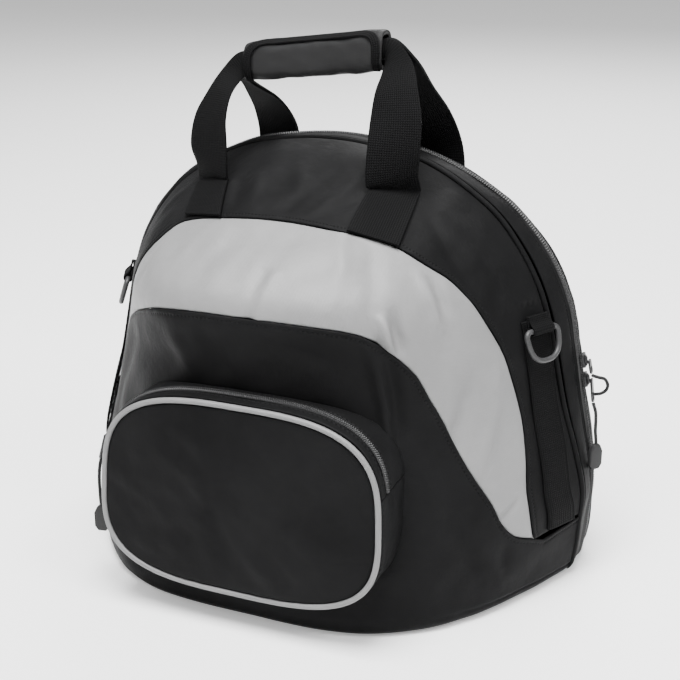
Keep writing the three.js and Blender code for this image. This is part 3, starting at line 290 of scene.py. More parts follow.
table_a = np.linspace(0, CROWN, 1600)
table_x, table_z = arch(table_a)
table_depth = arch(table_a, 2) * DEPTH


def bottom_draw(z):
    rise = ROUND - np.clip(z, 0, ROUND)
    return ROUND - np.sqrt(np.maximum(ROUND**2 - rise**2, 0))


def shell_half(z):
    return np.maximum(np.interp(z, table_z, table_x) - bottom_draw(z), 1e-6)


def middle_depth(z):
    return np.interp(z, table_z, table_depth) - bottom_draw(z)


def bow(z):
    """The power and the fullness of the bow that the front has at a height."""
    share = z / HEIGHT
    return 3.64 - 0.67 * share, 1.07 + 0.22 * share


def shell_depth(x, z):
    """How far ahead of the piping plane the front stands at x and z."""
    power, fullness = bow(z)
    reach = np.maximum(1 - np.abs(x / shell_half(z)) ** power, 0) ** fullness
    return middle_depth(z) * reach


def unit(ways):
    """The same directions, each of length 1."""
    return ways / np.maximum(np.linalg.norm(ways, axis=-1, keepdims=True), 1e-12)


CORE = np.array([0, 0, 0.12])


def on_shell(points):
    """The points moved straight away from the bag's core until they lie on the front."""
    ray = unit(points - CORE)
    near, far = np.zeros(ray.shape[:-1]), np.full(ray.shape[:-1], 0.4)
    for _ in range(34):
        middle = (near + far) / 2
        x, y, z = np.moveaxis(CORE + ray * middle[..., None], -1, 0)
        inside = (z < HEIGHT) & (z > 0) & (np.abs(x) < shell_half(z))
        inside &= -y < shell_depth(x, np.clip(z, 0, HEIGHT))
        near, far = np.where(inside, middle, near), np.where(inside, far, middle)
    return CORE + ray * near[..., None]


def through(points, count):
    """An even run along a smooth line through the points."""
    points = np.asarray(points, float)
    last = len(points) - 1
    t = np.linspace(0, last, count)
    i = np.minimum(t.astype(int), last - 1)
    w = (t - i)[:, None]
    padded = np.vstack([2 * points[0] - points[1], points, 2 * points[-1] - points[-2]])
    p0, p1, p2, p3 = (padded[i + k] for k in range(4))
    d0, d1, d2 = (
        np.maximum(np.sum((b - a) ** 2, axis=1) ** 0.25, 1e-4)[:, None]
        for a, b in ((p0, p1), (p1, p2), (p2, p3))
    )
    m1 = d1 * ((p1 - p0) / d0 - (p2 - p0) / (d0 + d1) + (p2 - p1) / d1)
    m2 = d1 * ((p2 - p1) / d1 - (p3 - p1) / (d1 + d2) + (p3 - p2) / d2)
    c2, c3 = -3 * p1 + 3 * p2 - 2 * m1 - m2, 2 * p1 - 2 * p2 + m1 + m2
    return p1 + m1 * w + c2 * w**2 + c3 * w**3


def run_of(points):
    """How far along a line each of its points lies."""
    return np.concatenate([[0], np.cumsum(np.linalg.norm(np.diff(points, axis=0), axis=1))])


def even(points, shares):
    run = run_of(points)
    return np.stack([np.interp(shares, run / run[-1], points[:, k]) for k in range(3)], -1)


def laid(*parts):
    """One grid of places from their parts."""
    return np.stack(np.broadcast_arrays(*parts), -1)


# Cloth is a grid of points laid on the bag, lifted along its own normals by soft waves and by
# folds that run where the photograph shows them. Then it is given its wall.
HEART = np.array([0, 0.02, 0.12])


def lifted(points, height, heart=HEART):
    """The grid moved along its own normals, away from the heart."""
    normal = unit(np.cross(np.gradient(points, axis=0), np.gradient(points, axis=1)))
    outward = np.sum(normal * (points - heart), axis=-1).sum()
    return points + normal * np.sign(outward) * np.asarray(height)[..., None]


def loose(off, reach):
    """0 at a seam, and towards 1 away from it."""
    return 1 - np.exp(-off / reach)


def rolled(off, width):
    """1 at an edge, and down to 0 at the width from it: how far the edge rolls in."""
    return np.clip(1 - off / width, 0, 1) ** 2


def sewn_line(off, place, width):
    return np.exp(-(((off - place) / width) ** 2))


def crumple(points, size, stretch=(1, 1, 1), seed=0, turn=0.0):
    """Soft random waves of one size, longer along the stretched ways."""
    c, s = math.cos(turn), math.sin(turn)
    flat = points.reshape(-1, 3) / size
    x, z = flat[:, 0] * c + flat[:, 2] * s, flat[:, 2] * c - flat[:, 0] * s
    flat = np.stack([x / stretch[0], flat[:, 1] / stretch[1], z / stretch[2]], -1) + seed * 7.31
    return np.array([noise.noise(Vector(p)) for p in flat]).reshape(points.shape[:-1])


def crease(points, line, height, reach):
    """A soft fold along a line in millimetres: it lifts the cloth, or sinks it if negative."""
    line = np.asarray(line, float) / 1000
    best = np.full(points.shape[:-1], 1e9)
    place = np.zeros(points.shape[:-1])
    for i, (a, b) in enumerate(zip(line[:-1], line[1:])):
        t = np.clip(((points - a) @ (b - a)) / np.dot(b - a, b - a), 0, 1)
        far = np.linalg.norm(points - (a + t[..., None] * (b - a)), axis=-1)
        place = np.where(far < best, (i + t) / (len(line) - 1), place)
        best = np.minimum(best, far)
    taper = np.sin(np.pi * np.clip(0.08 + 0.84 * place, 0, 1)) ** 0.5
    return height / 1000 * taper * np.exp(-((best * 1000 / reach) ** 2))


def folded(rise, points, folds):
    """The rise with every fold on it: a line of points, a height and a reach in millimetres."""
    for line, height, reach in folds:
        rise = rise + crease(points, line, height, reach)
    return rise


def edited(tool, **settings):
    """One edit tool, used on the whole mesh of the active piece."""
    bpy.ops.object.mode_set(mode="EDIT")
    bpy.ops.mesh.select_all(action="SELECT")
    tool(**settings)
    bpy.ops.object.mode_set(mode="OBJECT")


def worked(piece, kind, **settings):
    """One modifier, set and applied to the active piece."""
    modifier = piece.modifiers.new("work", kind)
    for key, value in settings.items():
        setattr(modifier, key, value)
    bpy.ops.object.modifier_apply(modifier=modifier.name)


def sheet(name, points, uv, wall=0.0, around=False, attributes=None, core=HEART):
    """Cloth on a grid of points: a grid primitive laid out point by point, facing away from
    core, with its wall on the inner side."""
    rows, columns = points.shape[:2]
    bpy.ops.object.select_all(action="DESELECT")
    bpy.ops.mesh.primitive_grid_add(x_subdivisions=rows - 1, y_subdivisions=columns - 1, size=2)
    piece = bpy.context.object
    piece.name = piece.data.name = name
    mesh = piece.data
    flat = np.empty(len(mesh.vertices) * 3)
    mesh.vertices.foreach_get("co", flat)
    flat = flat.reshape(-1, 3)
    i = np.rint((flat[:, 0] + 1) / 2 * (rows - 1)).astype(int)
    j = np.rint((flat[:, 1] + 1) / 2 * (columns - 1)).astype(int)
    mesh.vertices.foreach_set("co", points[i, j].ravel())
    corner = np.empty(len(mesh.loops), int)
    mesh.loops.foreach_get("vertex_index", corner)
    mesh.uv_layers.active.data.foreach_set("uv", uv[i, j][corner].ravel())
    for key, values in (attributes or {}).items():
        layer = mesh.attributes.new(key, "FLOAT", "POINT")
        layer.data.foreach_set("value", np.asarray(values)[i, j].ravel())
    mesh.update()
    if around:
        edited(bpy.ops.mesh.remove_doubles, threshold=2e-6)
    if sum(p.normal.dot(p.center - Vector(core)) * p.area for p in mesh.polygons) < 0:
        edited(bpy.ops.mesh.flip_normals)
    bpy.ops.object.shade_smooth()
    if wall:
        worked(piece, "SOLIDIFY", thickness=wall, offset=-1)
    return piece


def dress(piece, finish, slot, *nodes, body="bag"):
    piece.data.materials.clear()
    piece.data.materials.append(finish.material)
    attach(piece, body)
    if nodes:
        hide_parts(*nodes)
    return piece


# The body is black satin nylon, dull and crinkled, with a band of light grey nylon. Both have a
# slanting weave. A sewn line with one stitch after another runs beside every turned seam.
WEAVE = 0.0013
SEWN = 0.0034
STITCH = 0.0036


def nylon(name, dark, light, roughness, stitch, crinkle, gloss):
    cloth = Finish(name, Roughness=roughness, Specular_IOR_Level=gloss)
    u, v = cloth.cloth()
    slant = (u + v).wave(WEAVE) * 0.5 + (u - v * 0.6).wave(WEAVE * 0.8) * 0.5
    patch = cloth.noise(14, 3, 0.55)
    small = cloth.noise(150, 3, 0.55)
    beside = 1 - abs(cloth.attribute("edge") - SEWN).within(0.0003, 0.0008)
    place = (cloth.attribute("run") / STITCH).fract()
    sewn = beside * (1 - place.within(0.7, 0.88)) * place.within(0.12, 0.3)
    # The colour is darker in the band of the sewn line, beside its lighter stitches: painted shade
    # in the pressed-in groove.
    shade = patch * 0.6 + slant * 0.25 + small * 0.15 - beside * 0.25 + sewn * stitch
    cloth.coat(shade.within(0.15, 0.85), dark, light,
               roughness - 0.08 + patch * 0.12 + slant * 0.05)
    cloth.relief(cloth.noise(46, 4, 0.6, (1, 1, 0.7)), 0.0017, crinkle)
    cloth.relief(small, 0.0009, crinkle)
    cloth.relief(slant, 0.00012, 0.7)
    cloth.relief(sewn - beside * 0.6, 0.0005, 0.8)
    return cloth


BLACK = nylon("black_nylon", (0.0036, 0.0036, 0.0037), (0.0090, 0.0090, 0.0093),
              roughness=0.48, stitch=0.5, crinkle=0.36, gloss=0.03)
GREY = nylon("grey_nylon", (0.15, 0.15, 0.151), (0.205, 0.205, 0.205),
             roughness=0.46, stitch=0.0, crinkle=0.25, gloss=0.35)

# The three front panels meet in two curved seams, which join in a tip low on each flank. A row
# of a seam holds its height and how far it lies from the middle on the right and on the left.
TIP = (0.881, 50 / 329)
COLUMNS = 150


def seam(rows):
    """A seam on the shell, from the left tip over the middle to the right tip."""
    flat = [(-TIP[0], TIP[1])]
    flat += [(-left, height) for height, _, left in reversed(rows[1:])]
    flat += [(right, height) for height, right, _ in rows]
    flat.append(TIP)
    flat = through(np.array(flat), 900)
    x, z = flat[:, 0] * HALF_WIDTH, flat[:, 1] * HEIGHT
    line = np.stack([x, -shell_depth(x, z), z], -1)
    middle = int(np.argmin(np.abs(x)))
    shares = np.linspace(0, 1, COLUMNS)
    return np.vstack([even(line[: middle + 1], shares)[:-1], even(line[middle:], shares)])


UPPER = seam([
    (0.868, 0.0, 0.0), (0.864, 0.14, 0.17), (0.849, 0.324, 0.33), (0.83, 0.414, 0.414),
    (0.79, 0.519, 0.49), (0.763, 0.576, 0.533), (0.733, 0.619, 0.576), (0.699, 0.657, 0.61),
    (0.644, 0.7, 0.66), (0.587, 0.738, 0.71), (0.526, 0.767, 0.75), (0.462, 0.795, 0.785),
    (0.398, 0.819, 0.812), (0.334, 0.838, 0.835), (0.277, 0.85, 0.85), (0.222, 0.867, 0.867),
])
LOWER = seam([
    (0.706, 0.0, 0.0), (0.705, 0.171, 0.152), (0.696, 0.314, 0.286), (0.684, 0.381, 0.367),
    (0.666, 0.424, 0.438), (0.629, 0.476, 0.548), (0.581, 0.529, 0.645), (0.526, 0.567, 0.695),
    (0.474, 0.605, 0.72), (0.398, 0.657, 0.752), (0.337, 0.705, 0.772), (0.264, 0.767, 0.795),
    (0.207, 0.805, 0.815), (0.173, 0.838, 0.838),
])
SEAM_ROWS = np.array([0, 0.3, 0.8, 1.5, 2.3, 3.0, 3.4, 3.8, 4.6, 6.0, 8.0]) / 1000


def between(first, second, inner):
    """Rows of points from one line to the other, close together beside both."""
    width = np.linalg.norm(second - first, axis=1)
    scale = np.minimum(1, width / (2.6 * SEAM_ROWS[-1]))[:, None]
    start = SEAM_ROWS * scale / np.maximum(width, 1e-6)[:, None]
    middle = np.linspace(0, 1, inner + 2)[1:-1]
    middle = start[:, -1:] + (1 - 2 * start[:, -1:]) * middle
    share = np.hstack([start, middle, 1 - start[:, ::-1]])
    points = first[:, None] + (second - first)[:, None] * share[..., None]
    return points, share * width[:, None], (1 - share) * width[:, None]


def cloth_uv(points):
    """The cloth's own metres: along its rows at mid-height, and across them."""
    along = run_of(points[:, points.shape[1] // 2])
    across = np.linalg.norm(np.diff(points, axis=1), axis=-1)
    across = np.concatenate([np.zeros((len(points), 1)), np.cumsum(across, axis=1)], axis=1)
    return laid(along[:, None], across)


def turned_edge(gap):
    """Height of a panel's edge: turned under at the seam, with the sewn line pressed in."""
    turn = 0.0014
    near = np.clip(1 - gap / turn, 0, 1)
    sunk = turn * (1 - np.sqrt(np.maximum(1 - near**2, 0)))
    return 0.0006 * np.exp(-gap / 0.004) - sunk - 0.0004 * sewn_line(gap, SEWN, 0.0008)


# The grey band is light satin nylon between the two seams. It is pulled down to a tip at each
# side, so soft folds run across it, with one sharp pucker at the bend of its lower seam.
band, off_upper, off_lower = between(UPPER, LOWER, 46)
band = on_shell(band)
off_band = np.minimum(off_upper, off_lower)
band_rise = 0.0016 * loose(off_band, 0.012) - 0.0006 - 0.0012 * rolled(off_band, 0.0012)
band_slack = loose(off_band, 0.010)
band_rise += band_slack * 0.0021 * crumple(band, 0.046, (0.7, 1, 1.5), 1, 0.25)
band_rise += band_slack * 0.0010 * crumple(band, 0.020, (0.7, 1, 1.7), 2, -0.3)
band_rise = folded(band_rise, band, [
    ([(98, -124, 211), (95, -126, 222), (92, -126, 233)], 5.9, 3.7),
    ([(104, -119, 212), (102, -121, 224), (99, -120, 236)], -5.5, 4.4),
    ([(90, -127, 216), (87, -129, 228)], -3.2, 3.5),
    ([(5, -153, 233), (5, -144, 246), (8, -133, 258)], -3.2, 4.0),
    ([(13, -153, 233), (14, -145, 246), (17, -134, 258)], 2.8, 3.5),
    ([(50, -97, 279), (58, -115, 262), (60, -140, 240)], 2.6, 6.2),
    ([(72, -94, 273), (80, -115, 252), (84, -130, 236)], -2.8, 7.0),
    ([(103, -88, 256), (114, -93, 240), (122, -96, 222)], 3.3, 4.4),
    ([(112, -82, 252), (124, -86, 232)], -2.8, 4.4),
    ([(140, -74, 182), (138, -85, 155), (134, -93, 136)], -3.8, 7.0),
    ([(153, -57, 176), (154, -66, 145), (150, -80, 114)], 2.9, 7.0),
    ([(164, -78, 72), (171, -68, 79), (177, -58, 88)], -2.3, 3.1),
    ([(-96, -110, 240), (-100, -100, 222)], -2.6, 5.3),
    ([(-60, -112, 258), (-54, -140, 240)], 2.6, 6.2),
    ([(-30, -100, 275), (-36, -140, 246)], -2.0, 6.2),
])
pucker = np.exp(-off_lower / 0.006) + 0.7 * np.exp(-off_upper / 0.005)
pucker *= crumple(band, 0.0085, (0.5, 1, 1), 5)
band_rise += 0.0005 * pucker * np.clip(off_band / 0.002, 0, 1)
grey_band = sheet("band_cloth", lifted(band, band_rise), cloth_uv(band), WALL)
dress(grey_band, GREY, "grey_nylon", "grey_band")

# The top panel is black satin nylon from the band up to the front piping, pulled into folds by
# the handles' feet. Its lower edge is turned over the band and sewn down along its length. It
# lies flat where the handles' feet and the side straps are sewn on.
TOP_FOOT = 0.054
TOP_STITCHED = 0.95
rim_half = np.linspace(np.interp(TOP_FOOT, table_z, table_a), CROWN, COLUMNS)
rim_x, rim_z = arch(np.concatenate([rim_half, 2 * CROWN - rim_half[-2::-1]])[::-1])
top, off_seam, off_rim = between(UPPER, laid(rim_x, -PIPE - GAP, rim_z), 44)
top = on_shell(top)
top_rise = turned_edge(off_seam) - 0.001 * rolled(off_rim, 0.0015)
top_slack = loose(off_seam, 0.012) * loose(off_rim, 0.012)
top_rise += 0.0014 * top_slack
top_rise += top_slack * 0.0027 * crumple(top, 0.050, (0.8, 1, 1.5), 11, 0.4)
top_rise += top_slack * 0.0013 * crumple(top, 0.022, (0.7, 1, 1.6), 12, -0.5)
top_rise = folded(top_rise, top, [
    ([(-43, -73, 292), (-52, -50, 304), (-44, -36, 312)], -2.2, 7.0),
    ([(-30, -70, 296), (-36, -48, 308)], 1.6, 6.0),
    ([(-8, -42, 313), (4, -60, 302)], 1.5, 7.0),
    ([(22, -43, 311), (10, -62, 302), (2, -80, 291)], -1.4, 6.0),
    ([(43, -50, 306), (30, -66, 298), (22, -80, 290)], 1.6, 5.0),
    ([(50, -60, 300), (38, -74, 292)], -1.5, 4.5),
    ([(92, -46, 288), (112, -57, 268), (134, -58, 242)], -2.6, 7.0),
    ([(104, -34, 285), (124, -42, 263), (146, -40, 236)], 1.8, 9.0),
    ([(150, -28, 240), (155, -34, 214), (160, -36, 190)], -1.2, 8.0),
    ([(-100, -60, 262), (-130, -48, 236)], -1.6, 8.0),
    ([(-92, -36, 290), (-118, -40, 262)], 1.4, 8.0),
])
top_rise += 0.0004 * np.exp(-off_seam / 0.006) * crumple(top, 0.009, (0.6, 1, 1), 15)
under_foot = np.exp(-(((np.abs(top[..., 0]) - 0.069) / 0.027) ** 8)) * (top[..., 2] > 0.270)
under_strap = np.exp(-(((top[..., 1] + 0.020) / 0.025) ** 8)) * (top[..., 2] < 0.222)
pressed = np.maximum(under_foot, under_strap)
top_rise += pressed * (np.minimum(top_rise, 0.0001) - top_rise)
stitched = np.linspace(0, TOP_STITCHED, len(UPPER))[:, None] + 0 * off_seam
top_panel = sheet("top_cloth", lifted(top, top_rise), cloth_uv(top), WALL,
                  attributes={"edge": off_seam, "run": stitched})
dress(top_panel, BLACK, "black_nylon", "top_panel")

# The lower panel runs from the band down to the floor and out to both sides. It is slack behind
# the pocket, with a long fold beside it, and its top edge is turned over the band and sewn.
LOW_COLUMNS = 340
LOW_STITCHED = 0.82
SEAM_STEPS = 3000
LOW_HEM = 0.0028
low_ends = np.array([(0.905, 0.92), (0.933, 0.96), (0.962, 0.99), (0.99, 1.03)])
low_ends *= (HALF_WIDTH, 0.05)
edge_x, edge_z = np.vstack([low_ends[::-1] * (-1, 1), LOWER[:, [0, 2]], low_ends]).T
low_edge = even(laid(edge_x, -shell_depth(edge_x, edge_z), edge_z),
                np.linspace(0, 1, LOW_COLUMNS))
across = low_edge[:, 0] / shell_half(low_edge[:, 2])
drop = low_edge[:, 2] - LOW_HEM
sewn_rows = SEAM_ROWS / drop[:, None]
last_row = sewn_rows[:, -1:]
low_share = np.hstack([sewn_rows, last_row + (1 - last_row) * np.linspace(0, 1, 64)[1:]])
low_z = low_edge[:, 2:3] - drop[:, None] * low_share
fanned = np.interp(np.linspace(0, 1, LOW_COLUMNS), (0, 0.33, 0.67, 1),
                   (across[0], -0.7, 0.6, across[-1]))
low_x = (across[:, None] + (fanned - across)[:, None] * low_share) * shell_half(low_z)
low = laid(low_x, -shell_depth(low_x, low_z), low_z)
seam_line = even(low_edge, np.linspace(0, 1, SEAM_STEPS))
to_seam = [np.linalg.norm(row[:, None] - seam_line[None], axis=-1) for row in low]
off_seam = np.array([row.min(axis=1) for row in to_seam])
stitched = np.array([row.argmin(axis=1) for row in to_seam]) / SEAM_STEPS * LOW_STITCHED
off_sides = np.minimum(np.linalg.norm(low - low[:1], axis=-1),
                       np.linalg.norm(low - low[-1:], axis=-1))
low_slack = loose(off_seam, 0.012) * loose(off_sides, 0.010) * loose(low[..., 2], 0.012)
low_rise = turned_edge(off_seam) + 0.0012 * low_slack
low_rise += low_slack * 0.0030 * crumple(low, 0.055, (1, 1, 1.2), 21, 0.5)
low_rise += low_slack * 0.0015 * crumple(low, 0.024, (1.4, 1, 0.8), 22, 0.7)
low_rise = folded(low_rise, low, [
    ([(86, -134, 216), (91, -128, 192), (94, -124, 168), (97, -125, 142)], 4.6, 4.6),
    ([(97, -124, 203), (101, -121, 176), (104, -121, 148)], -3.8, 6.0),
    ([(-30, -153, 216), (-22, -146, 192)], -2.4, 8.0),
    ([(-56, -146, 210), (-46, -140, 186)], 2.0, 8.0),
    ([(20, -153, 218), (60, -146, 206)], -1.2, 7.0),
    ([(116, -112, 126), (126, -112, 98), (122, -112, 70)], 2.0, 12.0),
    ([(134, -108, 84), (150, -100, 58), (158, -96, 34)], -2.4, 9.0),
    ([(141, -104, 72), (160, -90, 50), (172, -78, 30)], 2.2, 9.0),
    ([(170, -72, 54), (172, -74, 36)], -1.6, 6.0),
    ([(110, -118, 60), (126, -114, 40), (140, -110, 22)], -1.8, 9.0),
    ([(-114, -108, 190), (-138, -88, 142), (-146, -90, 104)], -1.6, 10.0),
    ([(-150, -74, 70), (-140, -92, 36)], 1.6, 10.0),
    ([(90, -136, 26), (40, -150, 18), (-20, -156, 20)], 1.2, 8.0),
])
low_rise += 0.0005 * np.exp(-off_seam / 0.006) * crumple(low, 0.009, (0.6, 1, 1), 25)
low_rise -= 0.0012 * sewn_line(low[..., 2], 0.010, 0.0012)
lower_panel = sheet("lower_cloth", lifted(low, low_rise), cloth_uv(low), WALL,
                    attributes={"edge": off_seam, "run": stitched})
dress(lower_panel, BLACK, "black_nylon", "lower_panel")


# The floor of the bag is a stiffened board in black nylon, in the outline of the whole bag. Its
# edge is rounded up into the walls.
def back_section(a):
    nx, nz = arch_normal(a)
    x, z = arch(a)
    swell = arch(a, 4) * SWELL
    near = GUSSET + PIPE + GAP + WALL
    return x + nx * swell - bottom_draw(z), z + nz * swell, near, arch(a, 5) * BULGE


BASE_STEPS = 220


def base_ring(z):
    a = np.interp(z, table_z, table_a)
    angle = np.linspace(-np.pi / 2, np.pi / 2, BASE_STEPS // 2)
    x = np.sin(angle) * shell_half(z)
    front = laid(x, -shell_depth(x, z), z)
    half, _, near, bulge = (float(v) for v in back_section(a))
    across = np.sin(angle[::-1])
    back = laid(half * across, near + bulge * (1 - np.abs(across) ** 4), z)
    return even(np.vstack([front, back, front[:1]]), np.linspace(0, 1, BASE_STEPS))


rings = [base_ring(0.0026), base_ring(0.0012)]
centre = np.array([0, -0.045, 0.0])
for share in (1.0, 0.985, 0.96, 0.92, 0.8, 0.6, 0.4, 0.2, 0.02):
    ring = centre + (base_ring(0.0) - centre) * share
    ring[:, 2] = 0.0 if share > 0.95 else 0.0008
    rings.append(ring)
base = np.stack(rings, 1)
base_panel = sheet("base_cloth", base, base[..., :2].copy(), 0.0014, around=True)
dress(base_panel, BLACK, "black_nylon", "base_panel")

# The back is one slack panel that bulges behind the rear piping.
a = np.linspace(np.interp(WALL + GAP, table_z, table_a), CROWN - 0.002, 90)
half, back_z, near, bulge = back_section(a)
across = np.sin(np.linspace(-np.pi / 2, np.pi / 2, 150))
reach = 1 - np.abs(across) ** 4
back = laid(half[:, None] * across, near + bulge[:, None] * reach, back_z[:, None])
back_rise = reach[None] * (
    0.0022 * crumple(back, 0.06, (0.8, 1, 1.4), 31, 0.3)
    + 0.0010 * crumple(back, 0.026, (0.8, 1, 1.4), 32, -0.4)
)
back_panel = sheet("back_cloth", back + laid(0, back_rise, 0), back[..., [0, 2]].copy(), WALL,
                   core=(0, -0.1, 0.12))
dress(back_panel, BLACK, "black_nylon", "back_panel")


# Round cord in a strip of the black nylon edges the front and the back: the piping that stands
# up between each panel and the gusset.
def gusset_point(a, y, lift):
    nx, nz = arch_normal(a)
    x, z = arch(a)
    t = y / GUSSET
    away = 4 * arch(a, 3) * SWELL * t * (1 - t) + arch(a, 4) * SWELL * t * (2 * t - 1)
    away = away + lift - bottom_draw(z)
    return laid(x + nx * away, y, z + nz * away)


def tube(name, line, radius, sides=14, closed=False, normal=(0, 1, 0)):
    """Round cord along a line of points."""
    line = np.asarray(line, float)
    tangent = np.gradient(line, axis=0)
    if closed:
        tangent = np.roll(line, -1, axis=0) - np.roll(line, 1, axis=0)
        tangent[-1] = tangent[0] = line[1] - line[-2]
    tangent = unit(tangent)
    out = unit(np.cross(tangent, np.asarray(normal, float)))
    up = np.cross(out, tangent)
    angle = np.linspace(0, 2 * np.pi, sides + 1)
    thick = radius * np.ones(len(line))
    if not closed:
        ends = np.array([0.02, 0.7])
        line, out, up = (
            np.vstack([part[:1], part[:1], part, part[-1:], part[-1:]])
            for part in (line, out, up)
        )
        thick = np.concatenate([ends * radius, thick, ends[::-1] * radius])
    ring = out[:, None] * np.cos(angle)[:, None] + up[:, None] * np.sin(angle)[:, None]
    points = line[:, None] + ring * thick[:, None, None]
    uv = laid(run_of(line)[:, None], angle[None] * radius)
    piece = sheet(name, points, uv, around=True)
    edited(bpy.ops.mesh.normals_make_consistent, inside=False)
    return piece


LONG_STEPS = 420
low_a = float(np.interp(WALL + GAP + PIPE, table_z, table_a))
piping_a = np.linspace(low_a, 2 * CROWN - low_a, LONG_STEPS)
for name, y in (("front_piping", 0.0), ("rear_piping", GUSSET)):
    line = gusset_point(piping_a, y, -WALL / 2)
    line[:, 1] += 0.0003 * np.sin(piping_a * 90)
    dress(tube(name + "_cord", line, PIPE), BLACK, "black_piping", name)

# The gusset between the two pipings is a strip of nylon on each side of the zip. A woven tape
# carries the zip, and both strips are turned under and sewn down along it.
TAPE = 0.017
low_a = float(np.interp(WALL + GAP, table_z, table_a))
strip_a = np.linspace(low_a, 2 * CROWN - low_a, LONG_STEPS)
UNSEWN = 0.3


def gusset_strip(node, y0, y1, wall, lift, turned, finish, slot):
    """A strip from y0 to y1. Its sewn line runs beside the edge that is turned under, and
    UNSEWN is too far off to have one."""
    ys = np.linspace(y0, y1, 15)
    points = gusset_point(strip_a[:, None], ys[None], lift)
    off = np.minimum(ys - y0, y1 - ys)[None] * np.ones((len(strip_a), 1))
    off_tape = np.abs(ys - turned)[None] * np.ones((len(strip_a), 1))
    rise = 0.0007 * np.clip(off / 0.004, 0, 1) * crumple(points, 0.016, seed=41)
    rise -= 0.0006 * sewn_line(off_tape, 0.0022, 0.0007) + 0.0008 * rolled(off, 0.0012)
    uv = laid(strip_a[:, None], ys[None])
    piece = sheet(node + "_cloth", lifted(points, rise), uv, wall, attributes={
        "edge": off_tape + 0.0012, "run": strip_a[:, None] + 0 * off,
    })
    return dress(piece, finish, slot, node)


tape = Finish("zip_tape", Roughness=0.8, Specular_IOR_Level=0.15)
u, v = tape.cloth()
ribs = v.wave(0.0011) * 0.6 + (u + abs(v - 0.0231) * 1.2).wave(0.0014) * 0.4
tape.coat(ribs, (0.002, 0.002, 0.0021), (0.007, 0.007, 0.0073), 0.7 + ribs * 0.2)
tape.relief(ribs, 0.0002, 0.8)

middle = GUSSET / 2
front_turn = middle - TAPE / 2 + 0.0024
rear_turn = middle + TAPE / 2 - 0.0024
gusset_strip("gusset_front", PIPE + GAP, front_turn, WALL, 0.0004, front_turn, BLACK,
             "black_nylon")
gusset_strip("gusset_rear", rear_turn, GUSSET - PIPE - GAP, WALL, 0.0004, rear_turn, BLACK,
             "black_nylon")
gusset_strip("zip_tape", middle - TAPE / 2, middle + TAPE / 2, 0.0008, -0.0008, UNSEWN, tape,
             "zip_tape")

# The zip is a spiral coil: each half lies beside the other, and its slanting turns mesh in the
# middle. It is shiny black plastic.
coil_finish = Finish("zip_coil", Roughness=0.36, Specular_IOR_Level=0.35)
worn = coil_finish.noise(600, 2)
coil_finish.coat(worn, (0.006, 0.006, 0.0063), (0.016, 0.016, 0.0165), 0.3 + worn * 0.15)


def coil_rise(run, side, height, pitch):
    """Height of the coil at a place along it and side from -1 to 1 across it."""
    turn = run / pitch + np.where(side > 0, 0.5, 0.0) + 0.35 * np.abs(side)
    tooth = 0.5 + 0.5 * np.cos(2 * np.pi * turn)
    crown = np.sqrt(np.maximum(1 - np.abs(side) ** 3, 0))
    groove = 0.25 * np.exp(-((side / 0.16) ** 2))
    return height * crown * (0.45 + 0.55 * tooth**0.6 - groove)


coil_a = np.arange(low_a + 0.002, 2 * CROWN - low_a - 0.002, 0.00034)
coil_side = np.linspace(-1, 1, 13)
coil_lift = coil_rise(coil_a[:, None], coil_side[None], 0.0024, 0.0019) - 0.0004
coil = gusset_point(coil_a[:, None], middle + coil_side[None] * 0.0028, coil_lift)
zip_coil = sheet("zip_coil_turns", coil, laid(coil_a[:, None], coil_side[None] * 0.0028))
dress(zip_coil, coil_finish, "zip_coil", "zip_coil")

# The pocket is a separate rounded box on the front: a padded face, a light grey piping round
# it, and a wall that carries the zip over its top. Its seam follows the shell. P_WIDE and P_HIGH
# are half sizes, P_Z is its middle's height, and P_FACE is how far ahead its face stands.
P_WIDE, P_HIGH, P_Z, P_FACE = 0.110, 0.072, 0.100, 0.1697
P_LEAN, P_BULGE, P_TAPER, P_FLARE, P_REACH = 0.0056, 0.005, 0.025, 0.008, 0.072
P_PIPE, P_CORD = 0.0029, 0.0021


def pocket_point(angle, inset, behind):
    c, s = np.cos(angle), np.sin(angle)
    power = 2 / 3.2
    h = P_HIGH - inset + np.where(s > 0, P_FLARE * behind / P_REACH, 0)
    z = h * np.sign(s) * np.abs(s) ** power
    x = (P_WIDE - inset) * np.sign(c) * np.abs(c) ** power * (1 - P_TAPER * z / h)
    y = -P_FACE + P_LEAN * z / h + behind
    return laid(x, y, P_Z + z)


FULL_TURN = 2 * np.pi - 1e-6
even_angle = np.linspace(0, 2 * np.pi, 4001)
outline_run = run_of(pocket_point(even_angle, 0, 0))
P_AROUND = outline_run[-1]


def pocket_angles(low, high, count):
    """Angles that are evenly spaced along the pocket's outline, and the metres along it."""
    turns = [math.floor(v / (2 * np.pi)) for v in (low, high)]
    ends = [
        np.interp(v - t * 2 * np.pi, even_angle, outline_run) + t * P_AROUND
        for v, t in zip((low, high), turns)
    ]
    at = np.linspace(*ends, count)
    return np.interp(at % P_AROUND, outline_run, even_angle), at


